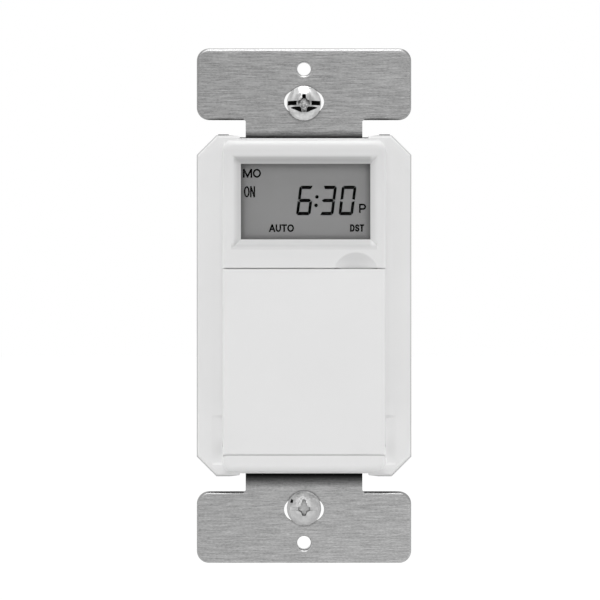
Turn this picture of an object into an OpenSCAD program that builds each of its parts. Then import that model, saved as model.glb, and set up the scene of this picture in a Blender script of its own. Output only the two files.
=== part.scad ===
// Timer light switch: a digital wall timer with a display window, a flip-down door over its keys,
// a white moulded front, a dark rear housing and a steel strap that screws to a wall box.
// It is drawn on its back: x across, y up the wall, z towards the user, zero at the strap's back face.
// Each piece is then turned upright, so that the front faces -Y and +Z is up.

/* [Mounting strap] */
// Length of the strap over both ears
strap_len = 105.1; // [103:0.1:110]
// Width of the ears
ear_w = 43.8; // [40:0.1:48]
// Height of each ear
ear_h = 14.6; // [14:0.1:16]
// Corner radius of the ears
ear_r = 2.5; // [1:0.1:4]
// Rolled edge around the front of the ears, left by the punch
ear_edge = 0.6; // [0.2:0.05:0.9]
// Width of the necks between the ears and the body
neck_w = 23.8; // [20:0.1:25]
// Thickness of the strap's steel
strap_t = 1.2; // [1:0.1:1.6]
// Gap between the strap's window and what stands in it
window_gap = 0.375; // [0.3:0.025:0.6]
// Height of the strap left below the lowest posts
window_end = 2.4; // [1.5:0.1:3]
// Pitch of the wall plate's screw holes
plate_pitch = 96.8; // [95:0.1:98]
// Radius of the wall plate's screw holes
plate_hole_r = 1.38; // [1.2:0.01:1.6]
// Rounding at the mouth of those holes
plate_mouth_r = 0.5; // [0.3:0.05:0.7]
// Length of the drawn collar behind those holes
plate_collar = 0.9; // [0.5:0.1:1.5]
// Wall of that collar
collar_wall = 0.7; // [0.5:0.05:1]
// Pitch of the slots for the box screws
box_pitch = 83.3; // [82:0.1:84.5]
// Length of those slots
slot_len = 8.15; // [7.4:0.05:9]
// Width of those slots
slot_w = 4.8; // [4.4:0.1:5]

/* [Box screws] */
// Radius over the thread
box_screw_r = 1.753; // [1.6:0.001:1.9]
// Radius of the plain neck under the head, which the fibre washer turns on
box_neck_r = 1.5; // [1.3:0.05:1.55]
// Play of the fibre washer on that neck
neck_play = 0.35; // [0.2:0.05:1]
// Length of the shank under the head
box_screw_len = 25.4; // [20:0.1:32]
// Radius of the head
box_head_r = 3.5; // [3.2:0.05:4]
// Height of the domed head
box_head_h = 2; // [1.6:0.1:2.4]
// How far each screw sits in its slot towards the body
box_screw_drop = 0.35; // [0:0.05:0.4]
// Radius of the fibre washers that keep the screws in
fibre_r = 3.2; // [2.8:0.05:3.4]
// Thickness of the fibre washers
fibre_t = 0.8; // [0.5:0.1:1.2]

/* [Front cover] */
// How far the sides of the flange stand in from the strap's ears
flange_inset = 0.1; // [0:0.025:0.5]
// Height of the flange
flange_h = 69.3; // [68.4:0.1:71]
// Cut at the corners of the flange
flange_cut = 4; // [2.5:0.05:4.6]
// Front face of the flange
flange_z = 3.6; // [3:0.1:3.9]
// Chamfer along the front edge of the flange
flange_edge = 0.5; // [0.3:0.1:0.8]
// Thickness of the skirt around the strap
skirt = 1.8; // [1.4:0.1:2.2]
// Width of the notches for the necks of the strap
notch_w = 26.2; // [25:0.1:29]
// Depth of those notches in the ends of the flange
notch_d = 0.65; // [0.4:0.05:0.9]
// Length of the sloped shoulders beside those notches
notch_lead = 2; // [0.5:0.1:2.1]
// Fall of those shoulders
notch_fall = 0.25; // [0.1:0.05:0.35]
// Width of the raised front
raised_w = 32.9; // [32.4:0.05:34]
// Height of the raised front
raised_h = 66.6; // [66:0.1:67.4]
// Corner radius of the raised front
raised_r = 2; // [1.6:0.1:3]
// Rounding along the front edge of the raised front
raised_edge = 1.2; // [0.8:0.1:1.5]
// Front face of the raised front
face_z = 9.2; // [8.8:0.1:10]
// Thickness of the side walls
wall = 1.75; // [1.4:0.05:1.8]
// Thickness of the plate around the display
plate_t = 1.5; // [1.4:0.1:1.9]
// Width of the finger scoop above the door
scoop_w = 8.6; // [6:0.1:10]
// Height of the finger scoop
scoop_h = 3.15; // [2:0.05:3.6]
// Depth of the finger scoop
scoop_depth = 1.2; // [0.8:0.1:1.3]
// Sideways place of the finger scoop
scoop_x = 10.4; // [-10.4:0.1:10.4]
// Length of the relief pockets beside the hinge
relief_len = 10.1; // [8:0.1:11]
// Width of the relief pockets
relief_w = 2.25; // [1.5:0.05:2.6]
// Depth of the relief pockets at the raised front's sides
relief_d = 0.3; // [0.2:0.05:0.8]

/* [Display] */
// Width of the window
win_w = 26; // [22:0.1:26]
// Height of the window
win_h = 15.2; // [12:0.1:15.6]
// Sideways place of the window's centre
win_x = 0.3; // [-0.3:0.1:0.3]
// Height of the window's centre
win_y = 20.94; // [20.6:0.01:21.3]
// Width of the bevel around the window
bevel_w = 1.2; // [0.8:0.05:1.4]
// Depth of that bevel
bevel_d = 1.3; // [0.9:0.05:1.35]
// Rounding along the outer edge of that bevel
bevel_r = 1.5; // [0.5:0.1:1.6]
// Side margin of the display glass around the window
glass_side = 0.6; // [0.4:0.05:0.7]
// Upper margin of the display glass
glass_head = 1.26; // [0.8:0.02:1.3]
// Lower margin of the display glass, with its contacts
glass_foot = 2.14; // [2:0.02:2.2]
// Thickness of the clear lens
lens_t = 1; // [0.8:0.05:1.5]
// Thickness of the display glass
glass_t = 2.2; // [1.8:0.1:2.4]
// Height of the bare contact ledge at the foot of the glass
contact_h = 1.7; // [1.5:0.1:2]
// Wall of the frame that holds lens and glass
frame_wall = 0.6; // [0.5:0.05:0.7]
// Width of the rubber contact strip
zebra_w = 1.7; // [1.4:0.1:1.8]
// How far the strip's ends stand in from the sides of the glass
zebra_in = 1; // [0.6:0.1:2]

/* [Door] */
// Height of the door's upper edge above the middle
door_head = 7.36; // [7:0.02:7.6]
// Gap above the door
door_gap_head = 0.26; // [0.2:0.02:0.4]
// Gap below the door
door_gap_foot = 0.5; // [0.45:0.05:0.6]
// Height of the bar below the door
bar_h = 2.8; // [2.6:0.05:3.6]
// Thickness of the door
door_t = 2; // [1.7:0.1:2.2]
// Thickness of the lip around the door
lip_t = 0.55; // [0.4:0.05:0.6]
// Gap under the lip
lip_gap = 0.15; // [0.1:0.05:0.2]
// Width of the upper ledge that the lip closes on
ledge_w = 1.25; // [1:0.05:1.4]
// How far the door's sides stand in from the raised front's sides
door_inset = 0.2; // [0.1:0.05:0.4]
// Rounding along the door's lower edge
door_foot_r = 0.5; // [0.4:0.05:0.9]
// Rounding along the door's sides
door_side_r = 0.45; // [0.3:0.05:0.5]
// Depth of the hollow in the door's inner face
door_hollow = 0.7; // [0.4:0.1:0.8]
// Height of the hinge axis above the door's lower edge
pivot_up = 2.75; // [2.6:0.05:3]
// Depth of the hinge axis under the front face
pivot_down = 1.8; // [1.7:0.05:1.9]
// Radius of the hinge pins
pin_r = 0.5; // [0.4:0.05:0.55]
// Running clearance around the pins
pin_gap = 0.06; // [0.03:0.01:0.09]
// Angle that the door opens to
door_open = 110; // [95:1:112]

/* [Keys] */
// Width of a programming key
key_w = 10; // [8:0.1:10.4]
// Height of a programming key
key_h = 4.4; // [3.6:0.1:4.6]
// Corner radius of the keys
key_r = 1.2; // [0.8:0.1:1.7]
// Pitch of the two columns of keys
key_col = 13.2; // [12.8:0.1:13.4]
// Pitch of the three rows of keys
key_row = 6.3; // [6.2:0.05:6.4]
// Height of the first row's middle
key_y = -4.6; // [-4.9:0.1:-4.3]
// Width of the manual key
manual_w = 20; // [16:0.1:21]
// Height of the manual key
manual_h = 5.6; // [4.6:0.1:5.8]
// Height of the manual key's middle
manual_y = 2.6; // [2.4:0.1:2.7]
// Radius of the reset button
reset_r = 1.3; // [1:0.05:1.5]
// Height of the reset button's middle
reset_y = -22.4; // [-22.6:0.1:-22.2]
// Travel of each key
key_travel = 0.3; // [0.2:0.05:0.35]
// Gap around each key in the deck
key_gap = 0.2; // [0.15:0.05:0.3]
// Depth of the deck under the front face
deck_drop = 4.2; // [4:0.1:4.4]
// Thickness of the deck
deck_t = 1.5; // [1.2:0.1:1.6]
// How far the keys stand out of the deck
key_rise = 1.6; // [1.2:0.1:1.7]
// How far the reset button stands out of the deck
reset_rise = 0.4; // [0.2:0.1:0.8]

/* [Rear housing] */
// Depth of the housing behind the strap
housing_depth = 32; // [30:0.5:40]
// Wall of the housing
housing_wall = 1.9; // [1.6:0.1:2.1]
// Draft of each side over the whole depth
housing_draft = 0.6; // [0.3:0.1:0.8]
// Height of the rim that meets the flange
rim_t = 2.2; // [1.6:0.1:3]
// Step from the flange's edge in to the rim
rim_in = 0.1; // [0.05:0.05:0.3]
// Chamfer along the rim
rim_edge = 0.4; // [0.2:0.1:0.8]
// Chamfer along the back
back_edge = 1; // [0.5:0.1:1.5]
// Step from the rim in to the sides
rim_step = 1; // [0.6:0.1:1.2]
// Width of the latch tabs
latch_w = 2.2; // [2:0.1:3]
// How far the latch tabs stand in from the flange's cut corners
latch_in = 0.3; // [0.2:0.05:1.5]
// Radius of the holes for the wire leads
lead_r = 1.75; // [1.4:0.05:1.8]
// Pitch of the holes for the wire leads
lead_pitch = 8.4; // [8.2:0.1:8.6]
// Height of the row of lead holes
lead_y = -26.5; // [-26.8:0.1:-26.2]

/* [Case screws] */
// Radius of the shank
case_screw_r = 1.1; // [0.9:0.05:1.2]
// Radius of the head
case_head_r = 1.9; // [1.7:0.05:2]
// Height of the head
case_head_h = 1.6; // [1.2:0.1:2]
// Height of the upper pair
case_y_upper = 7.7; // [7.6:0.05:7.7]
// Height of the lower pair
case_y_lower = -19; // [-19.4:0.1:-18.6]
// How deep behind the strap the heads sit
case_seat = 9; // [8:0.5:12]

/* [Circuit boards] */
// Thickness of the boards
board_t = 1.6; // [1.2:0.1:1.8]
// Depth of the control board's front face behind the strap's back
control_drop = 0.8; // [0.5:0.1:1]
// Gap between the control board's sides and the housing
control_side = 0.475; // [0.3:0.025:1]
// Gap between the control board's ends and the housing
control_end = 1.5; // [1:0.1:2]
// Gap between the power board's sides and the housing's mouth
power_side = 1.675; // [1.2:0.025:2]
// Gap between the power board's ends and the housing's mouth
power_end = 2.5; // [1.2:0.1:3]
// Cut at the corners of the boards
board_cut = 3; // [2:0.1:4]
// Gap around the posts that pass a board
post_gap = 0.3; // [0.2:0.05:0.5]
// Half distance of the control board's upper posts
post_x_upper = 10.5; // [9:0.1:11.5]
// Half distance of the control board's lower posts
post_x_lower = 11.5; // [10:0.1:12.5]
// Height of the standoffs under the power board
standoff = 2.6; // [2:0.1:4]
// Radius of the board screws' shanks
board_screw_r = 0.9; // [0.7:0.05:1]
// Length of the board screws' shanks
board_screw_len = 4.2; // [3.6:0.1:4.4]
// Side of a tact switch
tact_w = 6; // [5:0.1:6.1]
// Height of a tact switch
tact_h = 2.7; // [2.5:0.1:2.8]

/* [Control parts] */
// Width, length and height of the controller chip
chip_size = [7.5, 12.8, 1.6]; // [1:0.1:14]
// Place of the controller chip
chip_spot = [0, 20]; // [-20:0.1:24]
// Pitch of the chip's legs
chip_pitch = 1.27; // [1:0.01:1.4]
// Width, length and height of the clock crystal's can
crystal_size = [4.6, 11, 3.5]; // [2:0.1:12]
// Place of the clock crystal
crystal_spot = [10, 20]; // [-20:0.1:24]
// Radius of the backup cell
cell_r = 6.25; // [5:0.05:6.5]
// Radius of the cell's smaller pole
cell_pole_r = 5.4; // [4:0.1:5.8]
// Thickness of the backup cell
cell_t = 2; // [1.6:0.1:2.5]
// Height of the backup cell's middle on the board
cell_y = -8; // [-9:0.1:-7]
// Side of the cell's holder
holder_w = 15.6; // [14.5:0.1:16.5]
// Corner radius of the holder
holder_r = 2; // [1:0.1:3]
// Height of the holder
holder_h = 3.2; // [3:0.1:4]
// Floor of the holder under the cell
holder_floor = 0.6; // [0.4:0.05:0.8]
// Width of the slot that the cell is pushed out by
holder_slot = 5; // [4:0.1:6]

/* [Power parts] */
// Place of the power board's upper screw
power_post_upper = [6.5, 28]; // [-8:0.1:28]
// Place of the power board's lower screw
power_post_lower = [0, -20]; // [-20:0.1:1]
// Radius of the standoffs
power_post_r = 2.2; // [1.8:0.1:2.6]
// Width, length and height of the relay
relay_size = [12.8, 29, 15.7]; // [6:0.1:30]
// Place of the relay
relay_spot = [-6, 14.2]; // [-7:0.1:15]
// Width, length and height of the film capacitor
film_size = [7, 18, 13]; // [5:0.1:20]
// Place of the film capacitor
film_spot = [8, 16]; // [7:0.1:17]
// Corner radius of both cases
case_corner = 0.8; // [0.4:0.1:1.5]
// Place of the smoothing capacitor
smooth_spot = [7, -2]; // [-3:0.1:8]
// Place of the varistor
varistor_spot = [-8, -8]; // [-9:0.1:-7]
// Place of the fuse
fuse_spot = [-1, -9]; // [-10:0.1:0]
// Width, length and height of the rectifier
rectifier_size = [6.4, 8.2, 3.3]; // [3:0.1:9]
// Place of the rectifier
rectifier_spot = [6.5, -13]; // [-14:0.1:8]
// How far the pin header between the boards stands in from the control board's side
header_in = 3.6; // [3.2:0.1:4]
// Height of the pin header's middle
header_y = 20; // [18:0.1:21]
// Pitch of the header's pins
header_pitch = 2.54; // [2:0.01:2.6]
// Side of a pin
header_pin = 0.64; // [0.5:0.01:0.8]
// Side of the header's moulded blocks
header_w = 2.5; // [2:0.1:2.6]
// Outer radius of the eyelets' tubes
eyelet_r = 1.5; // [1.2:0.05:1.6]
// Inner radius of the eyelets
eyelet_bore = 0.8; // [0.6:0.05:1]
// Radius of the eyelets' rims
eyelet_rim = 2.2; // [1.9:0.05:2.6]
// Thickness of those rims
eyelet_rim_t = 0.5; // [0.3:0.05:0.7]
// How far the eyelets reach past each face of the board
eyelet_reach = 0.8; // [0.6:0.05:1]
// Radius of the smoothing capacitor
smooth_r = 5; // [4:0.1:5.2]
// Height of the smoothing capacitor
smooth_h = 14; // [10:0.5:16]
// Radius of the varistor's disc
varistor_r = 5; // [3.5:0.1:5.2]
// Thickness of the varistor's disc
varistor_t = 4.2; // [3:0.1:4.6]
// Radius of the fuse
fuse_r = 2.5; // [1.8:0.1:2.7]
// Length of the fuse
fuse_len = 11; // [8:0.5:12]

/* [Hidden] */
$fn = 64;
eps = 0.01;
over = 1;

// Fits
slip = 0.1;          // side clearance of pieces that drop into a pocket
hole_slip = 0.15;    // radial clearance of a screw in a clearance hole
pilot_slip = 0.05;   // radial clearance drawn between a screw and its pilot hole

// Levels of the front cover, from the strap outwards
deck_z = face_z - deck_drop;
deck_low = deck_z - deck_t;
ceiling_z = face_z - plate_t;
lip_z = face_z - lip_t;
rest_z = lip_z - lip_gap;
door_back = face_z - door_t;

// Width of the flange, which follows the ears
flange_w = ear_w - 2 * flange_inset;

// Middle and inner edge of the strap's ears
ear_y = strap_len / 2 - ear_h / 2;
ear_in = strap_len / 2 - ear_h;

// Outline of the cover's inside
in_x = raised_w / 2 - wall;
in_y = raised_h / 2 - wall;
bar_y = bar_h - raised_h / 2;
shelf_y = door_head + door_gap_head;
ledge_y = shelf_y - ledge_w;
shelf_wall = 1.4;
bay_y = shelf_y + shelf_wall;

// Hinge: the door's heel swings down into a trough, and the side walls end in round knuckles
door_foot = bar_y + door_gap_foot;
pivot_y = door_foot + pivot_up;
pivot_z = face_z - pivot_down;
knuckle_r = pivot_down - lip_t - lip_gap;
heel_reach = norm([pivot_up - door_foot_r, pivot_down - door_foot_r]) + door_foot_r;
heel_gap = 0.35;
trough_z = pivot_z - heel_reach - heel_gap;
trough_t = 1.3;
trough_low = trough_z - trough_t;
heel_back = -pivot_up * cos(door_open) - (door_back - pivot_z) * sin(door_open);
trough_y = pivot_y + heel_back + heel_gap + slip;
door_side = raised_w / 2 - door_inset;
core_gap = 0.25;
core_x = in_x - core_gap;
pin_end = 0.25;

// Outside and inside of the rear housing at its mouth
housing_w = flange_w - 2 * (rim_in + rim_step);
housing_h = flange_h - 2 * (rim_in + rim_step);
housing_cut = cut_in(flange_cut, rim_in + rim_step);
mouth_w = housing_w - 2 * housing_wall;
mouth_h = housing_h - 2 * housing_wall;

// Boards
control_w = mouth_w - 2 * control_side;
control_h = mouth_h - 2 * control_end;
power_w = mouth_w - 2 * power_side;
power_h = mouth_h - 2 * power_end;
control_front = -control_drop;
control_back = control_front - board_t;
back_in = housing_wall - housing_depth;
power_back = back_in + standoff;
power_front = power_back + board_t;
post_r = 1.5;
board_head_r = 1.8;
board_head_h = 1.2;
post_in = 0.8;
post_y_upper = (shelf_y + bay_y) / 2;
post_y_lower = trough_y + post_in;
control_posts = [for (s = [-1, 1], p = [[post_x_upper, post_y_upper], [post_x_lower, post_y_lower]])
    [s * p[0], p[1]]];
power_posts = [power_post_upper, power_post_lower];
screw_spare = 0.3;   // left free under the tip of a power board screw

// Display stack, from the ceiling of its bay down to the control board
glass_w = win_w + 2 * glass_side;
glass_h = win_h + glass_head + glass_foot;
glass_y = win_y + (glass_head - glass_foot) / 2;
lens_back = ceiling_z - lens_t;
glass_front = lens_back - slip / 2;
glass_back = glass_front - glass_t;
frame_w = glass_w + 2 * slip + 2 * frame_wall;
frame_h = glass_h + 2 * slip + 2 * frame_wall;
zebra_y = glass_y - glass_h / 2 + glass_foot / 2;
zebra_len = glass_w - 2 * zebra_in;

// Keys: each has a flange under the deck and a stem that reaches into its switch
key_top = deck_z + key_rise;
flange_gap = 0.1;
key_flange = 0.6;
key_flange_t = 0.8;
key_flange_z = deck_low - flange_gap - key_flange_t;
stem_r = 0.9;
well_gap = 0.35;
well_d = 1;
tact_top = control_front + tact_h;
stem_tip = tact_top - well_d + key_travel + slip;
dish_r = 24;
dish_d = 0.25;
key_spots = [for (row = [0:2], col = [-1, 1]) [col * key_col / 2, key_y - row * key_row]];
tact_spots = concat([[0, manual_y], [0, reset_y]], key_spots);

// Case screws
case_out = 0.5;      // how far their axes lie outside the inner walls
case_x = in_x + case_out;
case_spots = [for (x = [-1, 1], y = [case_y_upper, case_y_lower]) [x * case_x, y]];
case_post_r = 2.5;
case_boss_r = 2.2;
case_foot = 0.9;     // how much wider the posts are under the power board
case_cover = 0.6;    // what the deck keeps above their tips
case_tip = deck_z - case_cover;

// Strap inside the body
strap_fit = 0.4;
strap_in_x = flange_w / 2 - skirt - strap_fit;
strap_in_y = flange_h / 2 - skirt - strap_fit;
window_x = in_x + window_gap;
window_top = glass_y + frame_h / 2 + window_gap;
window_foot = post_y_lower - post_r - window_end;
neck_r = 0.4;
screw_y = box_pitch / 2 - box_screw_drop;

// Latch tabs
latch_x = flange_w / 2 - flange_cut - latch_in - latch_w / 2;
latch_t = 0.8;
latch_out = 0.22;    // how far the upper pair stands out of the flange; the lower pair is flush
latch_cover = 1.2;   // what the flange keeps in front of the tabs
latch_z = flange_z - latch_cover;

// Turns a piece from its back to its place on the wall
module upright() {
    rotate([90, 0, 0]) children();
}

// A profile drawn in y and z, run along x
module along_x(len) {
    rotate([90, 0, 90]) linear_extrude(len, center = true) children();
}

// A profile drawn in x and z, run along y
module along_y(len) {
    rotate([90, 0, 0]) linear_extrude(len, center = true) children();
}

// A box from its lowest to its highest corner
module span(low, high) {
    translate(low) cube(high - low);
}

// A rectangle with round corners
module round_rect(w, h, r) {
    square([w - 2 * r, h], center = true);
    square([w, h - 2 * r], center = true);
    for (x = [-1, 1], y = [-1, 1])
        translate([x * (w / 2 - r), y * (h / 2 - r)]) circle(r);
}

// An oblong with half-round ends
module oblong(len, w) {
    square([len - w, w], center = true);
    for (x = [-1, 1]) translate([x * (len - w) / 2, 0]) circle(w / 2);
}

// A rectangle with its corners cut at 45 degrees
module cut_rect(w, h, c) {
    x = w / 2;
    y = h / 2;
    polygon([[x - c, -y], [x, c - y], [x, y - c], [x - c, y],
        [c - x, y], [-x, y - c], [-x, c - y], [c - x, -y]]);
}

// Cut of a corner that keeps the wall even when the outline moves in by d
function cut_in(c, d) = c - d * (2 - sqrt(2));

// Outer end of the latch tabs at the upper (s = 1) or lower (s = -1) end of the flange
function latch_end(s) = flange_h / 2 + (s > 0 ? latch_out : 0);

// Half distance between the two diagonal faces of a cut rectangle
function cut_half(w, h, c) = (w / 2 + h / 2 - c) / sqrt(2);

// A block with cut corners whose sides lean in by draft and whose far edge is chamfered by edge
module cut_block(w, h, c, z0, z1, draft, edge) {
    diagonal = 2 * cut_half(w, h, c);
    length = 2 * (w + h);
    module side(width) {
        x0 = width / 2;
        x1 = x0 - draft;
        along_y(length)
            polygon([[-x0, z0], [x0, z0], [x1, z1 - edge], [x1 - edge, z1],
                [edge - x1, z1], [-x1, z1 - edge]]);
    }
    intersection() {
        side(w);
        rotate(90) side(h);
        rotate(45) side(diagonal);
        rotate(-45) side(diagonal);
    }
}

// Half of a profile that ends in a rounded shoulder
module shoulder(half, top, r) {
    square([half - r, top]);
    square([half, top - r]);
    translate([half - r, top - r]) intersection() {
        circle(r);
        square(r);
    }
}

// A block with round corners and a rounded front edge
module rounded_block(w, h, top, r, edge) {
    module both(half) {
        shoulder(half, top, edge);
        mirror([1, 0]) shoulder(half, top, edge);
    }
    along_y(h - 2 * r) both(w / 2);
    rotate(90) along_y(w - 2 * r) both(h / 2);
    for (k = [0:3]) {
        x = [1, -1, -1, 1][k];
        y = [1, 1, -1, -1][k];
        translate([x * (w / 2 - r), y * (h / 2 - r), 0])
            rotate(90 * k) rotate_extrude(angle = 90) shoulder(r, top, edge);
    }
}

// Outline of the strap between its ears: two necks and a frame inside the body
module strap_outline() {
    for (s = [-1, 1]) {
        translate([0, s * (ear_in + strap_in_y) / 2])
            square([neck_w, ear_in - strap_in_y + 2 * over], center = true);
        for (x = [-1, 1]) // small fillets where neck meets ear
            translate([x * neck_w / 2, s * ear_in]) difference() {
                square(2 * neck_r, center = true);
                translate([x * neck_r, -s * neck_r]) circle(neck_r);
            }
    }
    cut_rect(2 * strap_in_x, 2 * strap_in_y, cut_in(flange_cut, skirt + strap_fit));
}

// Stamped steel strap
module mounting_strap() upright() color("#a3a5a7") {
    difference() {
        union() {
            linear_extrude(strap_t) difference() {
                strap_outline();
                translate([-window_x, window_foot]) square([2 * window_x, window_top - window_foot]);
            }
            linear_extrude(strap_t) intersection() { // pads around the case screws
                strap_outline();
                for (p = case_spots) translate(p) circle(case_post_r);
            }
            for (s = [-1, 1]) {
                translate([0, s * ear_y, 0]) rounded_block(ear_w, ear_h, strap_t, ear_r, ear_edge);
                translate([0, s * plate_pitch / 2, -plate_collar])
                    cylinder(r = plate_hole_r + collar_wall, h = plate_collar + strap_t / 2);
            }
        }
        for (s = [-1, 1]) {
            translate([0, s * box_pitch / 2, -over])
                linear_extrude(strap_t + 2 * over) oblong(slot_len, slot_w);
            translate([0, s * plate_pitch / 2, 0]) {
                translate([0, 0, -plate_collar - over])
                    cylinder(r = plate_hole_r, h = strap_t + plate_collar + 2 * over);
                rotate_extrude() translate([plate_hole_r, strap_t - plate_mouth_r]) difference() {
                    translate([-plate_hole_r / 2, 0]) square([plate_hole_r / 2 + plate_mouth_r, over]);
                    translate([plate_mouth_r, 0]) circle(plate_mouth_r);
                }
            }
        }
        for (p = case_spots)
            translate([p[0], p[1], -over]) cylinder(r = case_screw_r + hole_slip, h = strap_t + 2 * over);
    }
}

// Two domed screws with a slot and a cross recess; the thread starts past the fibre washer
module mounting_screws() upright() color("#b9bcc0") {
    rim_h = 0.5;
    dome_r = (box_head_r ^ 2 + (box_head_h - rim_h) ^ 2) / (2 * (box_head_h - rim_h));
    slot_d = 0.9;
    slot_half = 0.5;
    cross_half = 0.45;
    cross_reach = box_head_r * 0.6;
    neck_len = strap_t + fibre_t + neck_play;
    for (s = [-1, 1])
        translate([0, s * screw_y, strap_t]) difference() {
            union() {
                rotate_extrude() intersection() {
                    translate([0, box_head_h - dome_r]) circle(dome_r);
                    square([box_head_r, box_head_h]);
                }
                translate([0, 0, -neck_len]) cylinder(r = box_neck_r, h = neck_len);
                translate([0, 0, -box_screw_len]) cylinder(r = box_screw_r, h = box_screw_len - neck_len);
            }
            span([-box_head_r - over, -slot_half, box_head_h - slot_d],
                [box_head_r + over, slot_half, box_head_h + over]);
            span([-cross_half, -cross_reach, box_head_h - slot_d],
                [cross_half, cross_reach, box_head_h + over]);
        }
}

// Two fibre washers that keep the screws from falling out
module screw_retainers() upright() color("#b79b72") {
    for (s = [-1, 1])
        translate([0, s * screw_y, -fibre_t]) linear_extrude(fibre_t) difference() {
            circle(fibre_r);
            circle(box_neck_r + pilot_slip);
        }
}

// Profile in y and z that clears the door's heel and leaves the knuckle standing
module heel_notch() {
    tangent = [pivot_y - knuckle_r * sin(door_open), pivot_z + knuckle_r * cos(door_open)];
    drop = (tangent[1] - trough_z) / sin(door_open);
    foot = tangent[0] - drop * cos(door_open);
    difference() {
        polygon([[bar_y, trough_z], [foot, trough_z], tangent, [pivot_y, pivot_z],
            [pivot_y, face_z], [bar_y, face_z]]);
        translate([pivot_y, pivot_z]) circle(knuckle_r);
    }
}

// Profile in y and z of a lip that follows the sweep of the door's heel
module heel_lip() {
    sweep = pivot_y - bar_y;
    difference() {
        translate([bar_y - eps, pivot_z]) square([sweep, face_z - pivot_z]);
        translate([pivot_y, pivot_z]) circle(sweep);
    }
}

// Profile in x and z of a relief pocket, deepest at the side of the raised front
module relief_profile() {
    x0 = raised_w / 2;
    x1 = x0 + relief_w;
    polygon([[x0, flange_z - relief_d], [x1, flange_z], [x1, flange_z + over], [x0, flange_z + over]]);
}

// Outline of the notch in the upper end of the flange
module neck_notch() {
    half = notch_w / 2;
    end = flange_h / 2;
    polygon([[-half - notch_lead, end], [-half, end - notch_fall], [-half, end - notch_d],
        [half, end - notch_d], [half, end - notch_fall], [half + notch_lead, end],
        [half + notch_lead, end + over], [-half - notch_lead, end + over]]);
}

// The display window, with mitred bevels that roll over into the front
module window_cut() {
    roll = 4; // angle at which the rounding leaves the front face
    lean = atan2(bevel_d, bevel_w);
    slide = bevel_r * (cos(roll) - cos(lean)) / sin(lean);
    module slope(half, len) {
        corner = [half + bevel_w, face_z];
        low = corner - slide * [cos(lean), sin(lean)];
        middle = [low[0] + bevel_r * sin(lean), face_z - bevel_r * cos(roll)];
        end = middle[0] - bevel_r * sin(roll);
        along_y(len) {
            polygon([[-half, face_z - bevel_d], [half, face_z - bevel_d], corner, [corner[0], face_z + over],
                [-corner[0], face_z + over], [-corner[0], face_z]]);
            for (s = [0, 1]) mirror([s, 0]) difference() {
                polygon([low, [half, face_z + over], [end, face_z + over], [end, face_z]]);
                translate(middle) circle(bevel_r);
            }
        }
    }
    translate([win_x, win_y, 0]) {
        intersection() {
            slope(win_w / 2, raised_h);
            rotate(90) slope(win_h / 2, raised_w);
        }
        span([-win_w / 2, -win_h / 2, ceiling_z - over], [win_w / 2, win_h / 2, face_z - bevel_d + eps]);
    }
}

// Hole in the deck for one key
module key_hole(w, h, r) {
    translate([0, 0, deck_low - over])
        linear_extrude(deck_t + 2 * over) round_rect(w + 2 * key_gap, h + 2 * key_gap, r + key_gap);
}

// White front moulding: flange, display section, side walls with hinge knuckles, deck and lower bar
module front_cover() upright() color("#f1f0ec") {
    scoop_foot = (scoop_w ^ 2 / 4 + scoop_h ^ 2) / (2 * scoop_h);
    scoop_ball = (scoop_foot ^ 2 + scoop_depth ^ 2) / (2 * scoop_depth);
    difference() {
        union() {
            difference() {
                union() {
                    cut_block(flange_w, flange_h, flange_cut, 0, flange_z, 0, flange_edge);
                    rounded_block(raised_w, raised_h, face_z, raised_r, raised_edge);
                }
                translate([0, 0, -over]) linear_extrude(strap_t + over)
                    cut_rect(flange_w - 2 * skirt, flange_h - 2 * skirt, cut_in(flange_cut, skirt));
                for (s = [-1, 1]) // ways for the necks
                    translate([-notch_w / 2, s * flange_h / 2 - flange_h / 4, -over])
                        cube([notch_w, flange_h / 2, strap_t + over]);
                for (turn = [0, 180])
                    rotate(turn) translate([0, 0, -over]) linear_extrude(face_z) neck_notch();
                span([-in_x, bay_y, -over], [in_x, in_y, ceiling_z]);
                span([-in_x, trough_y, -over], [in_x, bay_y + eps, deck_low]);
                span([-in_x, -in_y, -over], [in_x, trough_y + eps, trough_low]);
                span([-in_x, trough_y - eps, deck_z], [in_x, ledge_y, face_z + over]);
                span([-in_x, bar_y, trough_z], [in_x, trough_y, face_z + over]);
                span([-raised_w, bar_y, rest_z], [raised_w, shelf_y, face_z + over]);
                along_x(raised_w + over) heel_notch();
                translate([0, pivot_y, 0]) along_y(relief_len) {
                    relief_profile();
                    mirror([1, 0]) relief_profile();
                }
                window_cut();
                translate([scoop_x, shelf_y + scoop_h - scoop_foot, face_z + scoop_ball - scoop_depth])
                    sphere(scoop_ball);
            }
            intersection() { // lip of the lower bar, over the door's heel
                rounded_block(raised_w, raised_h, face_z, raised_r, raised_edge);
                along_x(raised_w) heel_lip();
            }
            for (p = case_spots)
                translate([p[0], p[1], strap_t]) cylinder(r = case_boss_r, h = deck_low + slip - strap_t);
            for (p = control_posts)
                translate([p[0], p[1], control_front])
                    cylinder(r = post_r, h = deck_low + slip - control_front);
        }
        for (p = key_spots) translate(p) key_hole(key_w, key_h, key_r);
        translate([0, manual_y, 0]) key_hole(manual_w, manual_h, key_r);
        translate([0, reset_y, deck_low - over]) cylinder(r = reset_r + key_gap, h = deck_t + 2 * over);
        translate([0, pivot_y, pivot_z]) rotate([0, 90, 0])
            cylinder(r = pin_r + pin_gap, h = raised_w + over, center = true);
        for (p = case_spots)
            translate([p[0], p[1], 0]) cylinder(r = case_screw_r + pilot_slip, h = case_tip + slip);
        for (p = control_posts)
            translate([p[0], p[1], control_back])
                cylinder(r = board_screw_r + pilot_slip, h = board_screw_len + slip);
        for (x = [-1, 1], s = [-1, 1])
            translate([x * latch_x, s * latch_end(s), 0])
                cube([latch_w + 2 * slip, 2 * (latch_t + slip), 2 * (latch_z + slip)], center = true);
    }
}

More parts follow.
